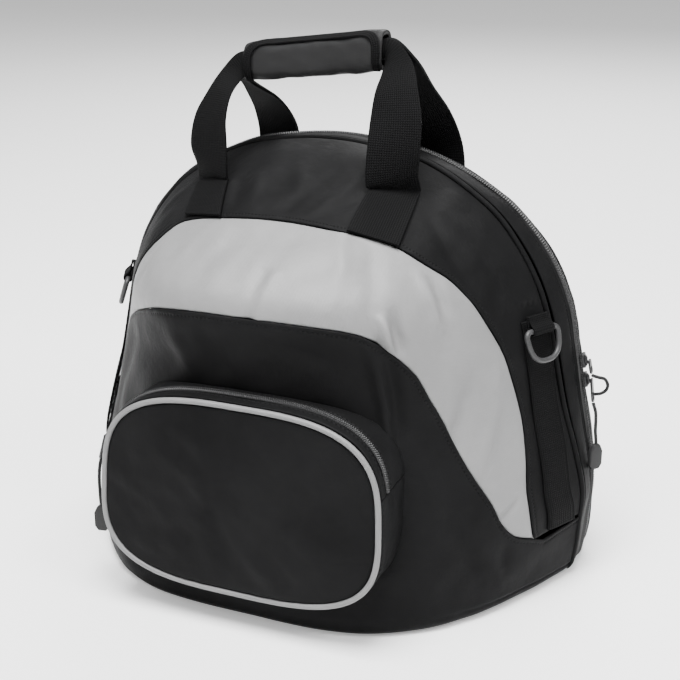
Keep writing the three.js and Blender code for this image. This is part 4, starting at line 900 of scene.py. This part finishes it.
face_angles, _ = pocket_angles(0, FULL_TURN, 241)
shares = np.concatenate([np.linspace(0.0, 0.9, 44), [0.93, 0.955, 0.972, 0.985, 0.994, 1.0]])
face_rim = pocket_point(face_angles, 2 * P_CORD - 0.0004, 0.0)
face_rim[-1] = face_rim[0]
face_centre = np.array([0, -P_FACE, P_Z])
face = face_centre + (face_rim[:, None] - face_centre) * shares[:, None]
off_rim = np.linalg.norm(face_rim[:, None] - face, axis=-1)
face_rise = P_BULGE * (1 - shares**2)[None] + WALL / 2 - 0.0016 * rolled(off_rim, 0.003)
face_rise = face_rise + loose(off_rim, 0.014) * (
    0.0030 * crumple(face, 0.040, (1, 1, 1), 51, 0.6)
    + 0.0018 * crumple(face, 0.019, (1.2, 1, 0.8), 52, -0.6)
)
face_rise = folded(face_rise, face, [
    ([(-96, -172, 96), (-78, -174, 88), (-62, -175, 84)], -1.6, 5.0),
    ([(-92, -172, 88), (-80, -174, 72)], -1.2, 4.0),
    ([(-20, -175, 110), (-14, -175, 84), (-4, -175, 66)], -1.8, 6.0),
    ([(52, -175, 104), (42, -175, 84), (30, -175, 72)], -2.2, 6.0),
    ([(66, -175, 112), (56, -175, 92)], 1.8, 7.0),
    ([(-56, -172, 156), (-60, -172, 146)], -1.4, 4.0),
    ([(-30, -174, 150), (-24, -175, 128)], 1.2, 7.0),
    ([(30, -172, 152), (54, -172, 138)], 1.4, 8.0),
    ([(84, -172, 72), (100, -170, 74)], -1.4, 4.5),
    ([(10, -175, 60), (34, -174, 48)], 1.2, 7.0),
    ([(-46, -175, 66), (-58, -174, 54)], 1.2, 7.0),
])
ripple = np.sin(face_angles * 41) * 0.5 + np.sin(face_angles * 67 + 1) * 0.5
near_rim = np.exp(-off_rim / 0.006) * np.clip(off_rim / 0.002, 0, 1)
face_rise = face_rise + 0.00035 * near_rim * ripple[:, None]
face = face + laid(0, -face_rise, 0)
face[-1] = face[0]
pocket_face = sheet("pocket_face_cloth", face, face[..., [0, 2]].copy(), WALL, around=True,
                    core=(0, 0, 0.1))
dress(pocket_face, BLACK, "black_nylon", "pocket_face")

grey_cord = Finish("grey_piping", Roughness=0.5, Specular_IOR_Level=0.5)
u, v = grey_cord.cloth()
weave = (u * 0.8 + v).wave(0.0012)
patch = grey_cord.noise(60, 2)
grey_cord.coat(weave * 0.4 + patch * 0.6, (0.10, 0.10, 0.101), (0.17, 0.17, 0.17),
               0.42 + patch * 0.16)
grey_cord.relief(grey_cord.noise(240, 2), 0.0005, 0.35)
grey_cord.relief(weave, 0.0001, 0.5)
cord_line = pocket_point(pocket_angles(0, FULL_TURN, 361)[0], P_CORD, 0)
cord_line[-1] = cord_line[0]
dress(tube("pocket_piping_cord", cord_line, P_CORD, 16, closed=True), grey_cord, "grey_piping",
      "pocket_piping")

# The pocket's wall: a strip of nylon before the zip, its tape, a strip behind it, and one wall
# below from one end of the zip to the other. What has no end of its own runs back to the shell.
P_INSIDE = (0, -0.12, P_Z)
ZIP_END = 0.045 * np.pi
strip_end = P_PIPE + GAP + 0.006
tape_end = strip_end + GAP + 0.009
coil_middle = strip_end + GAP + 0.0045


def pocket_wall(name, low, high, start, stop, lift, wall, count, finish, slot, node, turned=None):
    """Part of the pocket's wall. With no stop it runs back until it meets the shell."""
    angles, at = pocket_angles(low, high, count)
    share = np.linspace(0, 1, 15 if stop is None or stop - start > 0.02 else 9)
    behind = np.full(count, P_REACH if stop is None else stop)
    if stop is None:
        for _ in range(12):
            end = pocket_point(angles, -lift, behind)
            meet = P_FACE - shell_depth(end[:, 0], end[:, 2]) - P_LEAN * (end[:, 2] - P_Z) / P_HIGH
            behind = 0.5 * behind + 0.5 * np.clip(meet - 0.0004, start + 0.002, None)
    depth = start + (behind - start)[:, None] * share
    points = pocket_point(angles[:, None], -lift, depth)
    off = np.minimum(depth - start, behind[:, None] - depth)
    rise = 0.0011 * np.clip(off / 0.005, 0, 1) * crumple(points, 0.018, seed=61)
    rise -= 0.0009 * np.clip(1 - off / 0.0012, 0, 1) ** 2
    off_turned = np.abs(depth - (start if turned is None else turned))
    piece = sheet(name, lifted(points, rise, np.array([0, -0.13, P_Z])),
                  laid(at[:, None], depth), wall, core=P_INSIDE,
                  attributes={"edge": off_turned + 0.0014, "run": at[:, None] + 0 * depth})
    return dress(piece, finish, slot, node)


front_turn = strip_end + 0.0016
rear_turn = tape_end - 0.0012
pocket_wall("pocket_strip_front_cloth", ZIP_END, np.pi - ZIP_END, P_CORD, front_turn, 0.0003,
            0.0016, 240, BLACK, "black_nylon", "pocket_strip_front", front_turn)
pocket_wall("pocket_tape_cloth", ZIP_END, np.pi - ZIP_END, strip_end, tape_end + GAP, -0.0006,
            0.0008, 240, tape, "zip_tape", "pocket_zip_tape", UNSEWN)
pocket_wall("pocket_strip_rear_cloth", ZIP_END, np.pi - ZIP_END, rear_turn, None, 0.0003,
            WALL, 240, BLACK, "black_nylon", "pocket_strip_rear", rear_turn)
pocket_wall("pocket_wall_cloth", np.pi - ZIP_END + 0.003, 2 * np.pi + ZIP_END - 0.003, P_CORD, None,
            0.0, WALL, 260, BLACK, "black_nylon", "pocket_wall_lower")

coil_angles, coil_at = pocket_angles(ZIP_END + 0.004, np.pi - ZIP_END - 0.004, 1100)
coil_side = np.linspace(-1, 1, 11)
coil_lift = coil_rise(coil_at[:, None], coil_side[None], 0.0020, 0.0016) - 0.0002
coil = pocket_point(coil_angles[:, None], -coil_lift, coil_middle + coil_side[None] * 0.0022)
pocket_coil = sheet("pocket_coil_turns", coil, laid(coil_at[:, None], coil_side[None] * 0.0022),
                    core=P_INSIDE)
dress(pocket_coil, coil_finish, "zip_coil", "pocket_zip_coil")

# The handles are two lengths of ribbed webbing. Each is sewn to the panel at both feet, stands
# up, and folds narrow to pass through the grip.
webbing = Finish("webbing", Roughness=0.78, Specular_IOR_Level=0.06)
u, v = webbing.cloth()
ribs = v.wave(0.0017)
bars = (u + ribs * 0.0003).wave(0.0016)
fuzz = webbing.noise(900, 2)
weave = ribs * 0.4 + bars * 0.4 + fuzz * 0.2
# The colour follows the ribs and bars and is darker in their grooves: the woven pattern with
# painted shade in the grooves, over a fuzz of random tone.
webbing.coat(weave.within(0.1, 0.9), (0.0010, 0.0010, 0.0011), (0.0052, 0.0052, 0.0054),
             0.66 + fuzz * 0.2)
webbing.relief(ribs**0.6, 0.0003, 0.7)
webbing.relief(bars, 0.00025, 0.7)

STRAP = 0.038
GRIP_LONG, GRIP_TALL, GRIP_DEEP = 0.110, 0.029, 0.022
GRIP_SHIFT, GRIP_Y, GRIP_Z, GRIP_RISE = -0.005, -0.014, 0.391, 0.014


def grip_centre(x):
    x = np.asarray(x, float)
    rise = GRIP_RISE * (x - GRIP_SHIFT) / GRIP_LONG
    return laid(x, GRIP_Y, GRIP_Z + rise)


def surface(point, x, z):
    """A point of a surface given by x and z, and its normal."""
    step = 0.002
    sideways = point(x + step, z) - point(x - step, z)
    upward = point(x, z + step) - point(x, z - step)
    return point(x, z), unit(np.cross(sideways, upward))


def front_at(x, z):
    return np.array([x, -float(shell_depth(np.array(x), np.array(z))), z])


def back_at(x, z):
    a = float(np.interp(min(z + 0.003, HEIGHT - 0.001), table_z, table_a))
    half, _, near, bulge = (float(v) for v in back_section(a))
    return np.array([x, near + bulge * (1 - min(abs(x / half), 1) ** 4), z])


def ribbon(name, rows, width, wall, steps, folds=0.0, columns=25):
    """Webbing along rows of (point, face, edge or None, share of its width)."""
    centre = through([row[0] for row in rows], steps + 1)
    tangent = unit(np.gradient(centre, axis=0))
    order = np.arange(len(rows))
    at = np.linspace(0, order[-1], steps + 1)
    edges = []
    for k, (_, face, edge, _) in enumerate(rows):
        square = unit(np.cross(tangent[round(k / order[-1] * steps)], face))
        edges.append(square if edge is None else edge * np.sign(np.dot(edge, square)))
    edges = np.array(edges)
    across = unit(np.stack([smooth(order, edges[:, k], at) for k in range(3)], -1))
    face = unit(np.cross(across, tangent))
    wide = smooth(order, [row[3] for row in rows], at)
    side = np.linspace(-1, 1, columns)
    bowed = folds * np.clip(1 - wide, 0, 1)[:, None] * width * (1 - side**2)[None]
    edge_roll = -0.0005 * np.abs(side) ** 10
    points = centre[:, None] + across[:, None] * (side[:, None] * wide[:, None, None] * width / 2)
    points = points + face[:, None] * (bowed + edge_roll + wall / 2)[..., None]
    piece = sheet(name, points, laid(run_of(centre)[:, None], side[None] * width / 2))
    facing = 0
    for patch in list(piece.data.polygons)[::37]:
        nearest = np.argmin(np.sum((centre - np.array(patch.center)) ** 2, 1))
        facing += patch.normal.dot(Vector(face[nearest])) * patch.area
    if facing < 0:
        edited(bpy.ops.mesh.flip_normals)
    worked(piece, "SOLIDIFY", thickness=wall, offset=-1)
    worked(piece, "BEVEL", width=wall * 0.3, segments=2, limit_method="ANGLE")
    bpy.ops.object.shade_smooth_by_angle(angle=1.0)
    return piece


# A foot's row, in millimetres and degrees: how far out its low and high ends lie, the heights of
# both, and how the webbing is turned there. A row of a run above the foot holds the share of the
# foot's way out, of the rise to the grip, of the gusset's depth and of the width, and its turn.
FEET = {
    (True, 1): (69.5, 68, 278, 302, 11, 32), (True, -1): (64, 77, 281, 298, -18, -26),
    (False, 1): (70, 69, 270, 296, 0, 0), (False, -1): (71, 72, 270, 296, 0, 0),
}
RUNS = {
    (True, 1): [(1.0, 0.1, -1.03, 1, 24), (1.02, 0.34, -1.04, 1, 12), (1.01, 0.56, -0.93, 0.98, 4),
                (0.97, 0.74, -0.76, 0.82, 8), (0.9, 0.9, -0.47, 0.58, 14)],
    (True, -1): [(1.0, 0.1, -1.03, 1, -26), (1.03, 0.34, -1.02, 0.96, -16),
                 (1.03, 0.56, -0.92, 0.84, -18), (0.98, 0.76, -0.72, 0.66, -20),
                 (0.91, 0.91, -0.43, 0.52, -16)],
    (False, 1): [(0.96, 0.2, 1.3, 1, 6), (0.88, 0.42, 1.04, 1, 10), (0.84, 0.68, 0.46, 0.82, 12),
                 (0.9, 0.9, -0.18, 0.5, 12)],
    (False, -1): [(0.99, 0.2, 1.32, 1, -4), (0.97, 0.42, 1.08, 1, -6),
                  (0.95, 0.68, 0.48, 0.82, -8), (0.97, 0.9, -0.18, 0.5, -12)],
}
STAND = 0.0020
BESIDE_GRIP = 0.011 / 4.8


def handle(front):
    ahead = -1 if front else 1
    rows_by_side = {}
    for side in (-1, 1):
        low_out, high_out, low, high, low_turn, high_turn = FEET[front, side]
        rows = []
        for t in (0, 0.35, 0.7, 0.88, 1):
            x = side * (low_out + (high_out - low_out) * t) / 1000
            z = (low + (high - low) * t) / 1000
            at, face = surface(front_at if front else back_at, x, z)
            face = face if face[1] * ahead > 0 else -face
            turn = math.radians(low_turn + (high_turn - low_turn) * t)
            edge = np.array([math.cos(turn), math.sin(turn), 0])
            edge = np.array([math.cos(turn), math.sin(turn), 0])
            edge[2] = -edge.dot(face) / face[2]
            rows.append((at + face * STAND, face, unit(edge), 1))
        end = grip_centre(GRIP_SHIFT + side * GRIP_LONG / 2)
        for out, up, back, wide, turn in RUNS[front, side]:
            turn = math.radians(turn)
            face = np.array([math.sin(turn), -math.cos(turn), 0]) * -ahead
            z = high / 1000 + (end[2] - high / 1000) * up
            place = np.array([side * out * high_out / 1000, back * GUSSET, z])
            rows.append((place, face, None, wide))
        rows_by_side[side] = rows
    inside = [
        (grip_centre(GRIP_SHIFT + share * GRIP_LONG / 2) + (0, ahead * BESIDE_GRIP, 0),
         np.array([0, ahead, 0]), None, 0.44)
        for share in (-1.05, -0.95, -0.5, 0, 0.5, 0.95, 1.05)
    ]
    return rows_by_side[-1] + inside + rows_by_side[1][::-1]


for front, name in ((True, "handle_front"), (False, "handle_rear")):
    handle_webbing = ribbon(name + "_webbing", handle(front), STRAP, 0.002, 330, folds=0.10)
    dress(handle_webbing, webbing, "webbing", name)

# The grip is a padded sleeve of black nylon wrapped round both handles, with a ribbed tape
# bound over its top edge and both ends.
GRIP_GIRTH = 0.013
along = np.linspace(-1, 1, 90)
angle = np.linspace(0, 2 * np.pi, 73)


def grip_point(x, angle, tall=GRIP_TALL, deep=GRIP_DEEP):
    c, s = np.cos(angle), np.sin(angle)
    y = deep / 2 * np.sign(c) * np.abs(c) ** 0.75
    z = tall / 2 * np.sign(s) * np.abs(s) ** 0.75
    return grip_centre(x + 0 * y) + laid(0 * x, -y, z)


ends = np.clip((np.abs(along) - 0.93) / 0.07, 0, 1)
swell = (1.0 + 0.02 * (1 - along**2) - 0.05 * ends**2)[:, None]
grip_x = GRIP_SHIFT + along * GRIP_LONG / 2
sleeve = grip_point(grip_x[:, None], angle[None], GRIP_TALL * swell, GRIP_DEEP * swell)
sleeve_rise = (1 - ends)[:, None] * (
    0.0012 * crumple(sleeve, 0.020, (1.5, 1, 0.7), 71)
    + 0.0006 * crumple(sleeve, 0.009, (1.2, 1, 0.7), 72)
)
away = sleeve - grip_centre(grip_x)[:, None]
away[..., 0] = 0
sleeve = sleeve + unit(away) * sleeve_rise[..., None]
sleeve[:, -1] = sleeve[:, 0]
sleeve_uv = laid((along * GRIP_LONG / 2)[:, None], angle[None] * GRIP_GIRTH)
# The grip's nylon is the body's black nylon painted about twice as light: painted light on the
# grip.
GRIP_LIT_NYLON = nylon("grip_nylon_painted_light", (0.008, 0.008, 0.0082), (0.019, 0.019, 0.0193),
               roughness=0.5, stitch=0.5, crinkle=0.5, gloss=0.1)
grip = sheet("grip_padding", sleeve, sleeve_uv, 0.0032, around=True, core=grip_centre(GRIP_SHIFT))
dress(grip, GRIP_LIT_NYLON, "black_nylon", "handle_grip")

# The binding goes up one end of the grip, over its top edge and down the other end. Its route
# holds places along the grip from its middle, and angles round it.
edge = GRIP_LONG / 2 - 0.00325 - 0.001
BINDING = [
    (-edge, -1.0), (-edge, -0.4), (-edge, 0.25), (-edge + 0.003, 0.7), (-edge + 0.009, 0.98),
    (-edge / 2, 1.02), (0, 1.02), (edge / 2, 1.02), (edge - 0.009, 0.98), (edge - 0.003, 0.7),
    (edge, 0.25), (edge, -0.4), (edge, -1.0),
]
binding_rows = []
for place, turn in BINDING:
    at = grip_point(np.array(GRIP_SHIFT + place), np.array(turn))
    up = grip_point(np.array(GRIP_SHIFT + place), np.array(turn + 0.1))
    out = unit(np.cross([1, 0, 0], up - at))
    out = out if out[1] < 0.2 else -out
    binding_rows.append((at + out * 0.0012, out, None, 1))
dress(ribbon("grip_binding_tape", binding_rows, 0.0065, 0.0012, 160, columns=9), webbing,
      "binding", "grip_binding")

# On each flank a length of webbing runs down from the D-ring to the lower panel, sewn along both
# edges. A row of its edges holds a share of the height and two of the depth: the front edge's
# and the rear one's.
STRAP_EDGES = np.array([
    (0.64, 0.168, 0.018), (0.58, 0.172, 0.02), (0.47, 0.182, 0.036), (0.38, 0.2, 0.046),
    (0.3, 0.22, 0.066), (0.24, 0.236, 0.08), (0.19, 0.224, 0.06), (0.161, 0.222, 0.05),
])


def flank_at(ahead, z):
    power, fullness = bow(z)
    across = (1 - (ahead / middle_depth(z)) ** (1 / fullness)) ** (1 / power)
    return laid(shell_half(z) * across, -ahead, z)


SIDE_WALL = 0.0016
strap_rows = STRAP_EDGES[::-1]
strap_z = np.linspace(strap_rows[0, 0], strap_rows[-1, 0], 120)
fore = smooth(strap_rows[:, 0], strap_rows[:, 1], strap_z) * DEPTH
aft = smooth(strap_rows[:, 0], strap_rows[:, 2], strap_z) * DEPTH
strap_side = np.linspace(0, 1, 23)
ahead = aft[:, None] + (fore - aft)[:, None] * strap_side
strap = flank_at(ahead, (strap_z * HEIGHT)[:, None])
off_edge = np.minimum(strap_side, 1 - strap_side)[None] * (fore - aft)[:, None]
strap_rise = 0.0024 + 0.0004 * crumple(strap, 0.03, seed=81)
strap_rise -= 0.0008 * rolled(off_edge, 0.0012) + 0.0005 * sewn_line(off_edge, 0.0024, 0.0007)
strap = lifted(strap, strap_rise)
strap_uv = laid((strap_z * HEIGHT)[:, None], (strap_side - 0.5)[None] * 0.0245)

# Above it a folded tab of the same webbing holds the ring: both layers lie on the strap, and the
# fold goes round the ring's bar. The webbing is narrower than the bar, so the ring can swing.
RING_WIRE, RING_WIDE, RING_DROP, RING_Z, RING_AHEAD = 0.002, 0.032, 0.023, 0.203, 0.014
TAB_WIDE, TAB_WALL, TAB_TAIL = 0.024, 0.0016, 0.011
TAB_CLOTH = TAB_WIDE - 0.0024
TAB_SEAT = 0.0001
fore_point = flank_at(RING_AHEAD + TAB_WIDE / 2, RING_Z)
aft_point = flank_at(max(RING_AHEAD - TAB_WIDE / 2, 0.001), RING_Z)
bar = unit(aft_point - fore_point)
down = flank_at(RING_AHEAD, RING_Z - 0.02) - flank_at(RING_AHEAD, RING_Z + 0.01)
down = unit(down - bar * down.dot(bar))
out = np.cross(down, bar)
out = out if out[0] > 0 else -out
ring_centre = (fore_point + aft_point) / 2
ring_centre = ring_centre + out * (2 * GAP + SIDE_WALL + TAB_WALL + RING_WIRE + TAB_SEAT)
skin = RING_WIRE + GAP + TAB_WALL / 2
loop = [(-TAB_TAIL, -skin + 1.25 * TAB_WALL), (-skin - 0.0030, -skin + 1.6 * TAB_WALL)]
loop += [(skin * math.cos(t), skin * math.sin(t)) for t in np.linspace(2.2, -1.57, 9)]
loop += [(-skin - 0.002, -skin), (-TAB_TAIL, -skin)]
tab_rows = []
for k, (d, o) in enumerate(loop):
    before, after = loop[max(k - 1, 0)], loop[min(k + 1, len(loop) - 1)]
    way = down * (after[0] - before[0]) + out * (after[1] - before[1])
    away = down * d + out * o
    outward = out if k < 2 else -out if k > len(loop) - 3 else away
    face = unit(np.cross(bar, way))
    face = -face if face.dot(outward) < 0 else face
    tab_rows.append((ring_centre + away, face, bar, 1))

# The ring is moulded grey plastic: a straight bar and a round bow, hung a little outwards.
RING_TILT = 0.1
BOW_START = 0.0025
BOW_POINTS = 14
PER_POINT = 8
ring_paint = Finish("ring_plastic", Roughness=0.42, Specular_IOR_Level=0.3)
scuff = ring_paint.noise(420, 3, 0.6)
ring_paint.coat(scuff, (0.023, 0.023, 0.0236), (0.037, 0.037, 0.0379), 0.34 + scuff * 0.18)
ring_paint.relief(scuff, 0.0001, 0.4)
tilt_down = down * math.cos(RING_TILT) + out * math.sin(RING_TILT)
half_ring = RING_WIDE / 2
path = [
    ring_centre + bar * (half_ring - 0.003) * share for share in (-1, -0.9, -0.5, 0, 0.5, 0.9, 1)
]
for i in range(BOW_POINTS + 1):
    t = math.pi * i / BOW_POINTS
    reach = math.sin(t) ** 0.72 if math.sin(t) > 0 else 0
    wide = math.copysign(abs(math.cos(t)) ** 0.8, math.cos(t))
    fall = BOW_START + (RING_DROP - BOW_START) * reach
    path.append(ring_centre + bar * half_ring * wide + tilt_down * fall)
path = np.array(path)
wrapped = np.vstack([path[-3:], path, path[:4]])
ring_line = through(wrapped, (len(wrapped) - 1) * PER_POINT + 1)[3 * PER_POINT:-3 * PER_POINT]
ring_line[-1] = ring_line[0]
ring_normal = np.cross(bar, tilt_down)

for side_name, sign in (("right", 1), ("left", -1)):
    flip = np.array([sign, 1, 1])
    piece = sheet("side_strap_" + side_name + "_webbing", strap * flip, strap_uv, SIDE_WALL)
    dress(piece, webbing, "webbing", "side_strap_" + side_name)
    rows = [(at * flip, face * flip, edge * flip, wide) for at, face, edge, wide in tab_rows]
    piece = ribbon("d_ring_tab_" + side_name + "_webbing", rows, TAB_CLOTH, TAB_WALL, 90)
    dress(piece, webbing, "webbing", "d_ring_tab_" + side_name)
    piece = tube("d_ring_" + side_name + "_wire", ring_line * flip, RING_WIRE, 18, closed=True,
                 normal=ring_normal * flip)
    dress(piece, ring_paint, "ring_plastic", "d_ring_" + side_name, body="d_ring_" + side_name)


# The zip sliders are black lacquered castings, each with a flat slotted tab.
def eased(name, node, width, finish, slot):
    """The CAD piece with its edges rounded."""
    piece = bpy.data.objects.new(name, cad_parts[node].data.copy())
    bpy.context.scene.collection.objects.link(piece)
    bpy.ops.object.select_all(action="DESELECT")
    piece.select_set(True)
    bpy.context.view_layer.objects.active = piece
    edited(bpy.ops.mesh.remove_doubles, threshold=1e-5)
    edited(bpy.ops.mesh.dissolve_limited, angle_limit=0.05)
    worked(piece, "BEVEL", width=width, segments=3, limit_method="ANGLE", angle_limit=0.6)
    bpy.ops.object.shade_smooth_by_angle(angle=0.9)
    return dress(piece, finish, slot, node)


lacquer = Finish("zip_metal", Roughness=0.32, Metallic=0.75)
worn = lacquer.noise(700, 3, 0.6)
lacquer.coat(worn.within(0.35, 0.8), (0.012, 0.012, 0.013), (0.055, 0.055, 0.056),
             0.26 + worn * 0.2)
for node in ("zip_slider_upper", "zip_slider_lower", "zip_tab_upper", "zip_tab_lower",
             "pocket_slider", "pocket_tab"):
    eased(node + "_casting", node, 0.0004, lacquer, "zip_metal")

# Each tab has a thin braided cord. The lower one on the gusset and the one on the pocket end in
# a moulded grip, and the upper one is a loop that stands out. Routes are in millimetres.
moulded = Finish("pull_end", Roughness=0.5, Specular_IOR_Level=0.2)
grain = moulded.noise(500, 3, 0.6)
moulded.coat(grain, (0.009, 0.009, 0.0092), (0.020, 0.020, 0.0205), 0.42 + grain * 0.2)
moulded.relief(grain, 0.00015, 0.5)
lower_end = eased("pull_end_lower_moulding", "pull_end_lower", 0.0007, moulded, "pull_end")
pocket_end = eased("pocket_pull_end_moulding", "pocket_pull_end", 0.0007, moulded, "pull_end")

braid = Finish("pull_cord", Roughness=0.75, Specular_IOR_Level=0.35)
u, v = braid.cloth()
plait = (u + v).wave(0.0016) * (u - v).wave(0.0016)
braid.coat(plait, (0.003, 0.003, 0.0033), (0.014, 0.014, 0.0145), 0.7 + plait * 0.15)
braid.relief(plait, 0.0003, 0.8)
CORD = 0.0013
ROUTES = {
    "pull_cord_lower": (
        [(208.4, 20.6, 137.4), (211.0, 19.2, 131.0), (212.0, 17.6, 124.0), (212.4, 16.4, 117.0),
         (213.4, 15.4, 110.6), (213.8, 15.0, 107.2)], "fitting", [lower_end]),
    "pull_cord_upper": (
        [(205.3, 24.0, 158.6), (206.3, 24.1, 158.0), (210.6, 24.6, 157.0), (215.0, 25.4, 156.0),
         (217.4, 26.2, 151.4), (216.2, 26.8, 146.6), (212.4, 26.8, 143.4), (207.8, 26.4, 142.2)],
        "object", []),
    "pocket_pull_cord": (
        [(-122.6, -150.6, 104.6), (-124.6, -150.0, 98.0), (-126.0, -149.6, 90.0),
         (-126.6, -149.4, 81.0), (-126.6, -149.2, 72.0), (-126.4, -149.2, 64.0)], "fitting",
        [pocket_end]),
}
for node, (route, far_end, pieces) in ROUTES.items():
    line = through(np.array(route) / 1000, 60)
    piece = dress(tube(node + "_braid", line, CORD, 12, normal=(0.2, 1, 0.1)), braid, "pull_cord",
                  node)
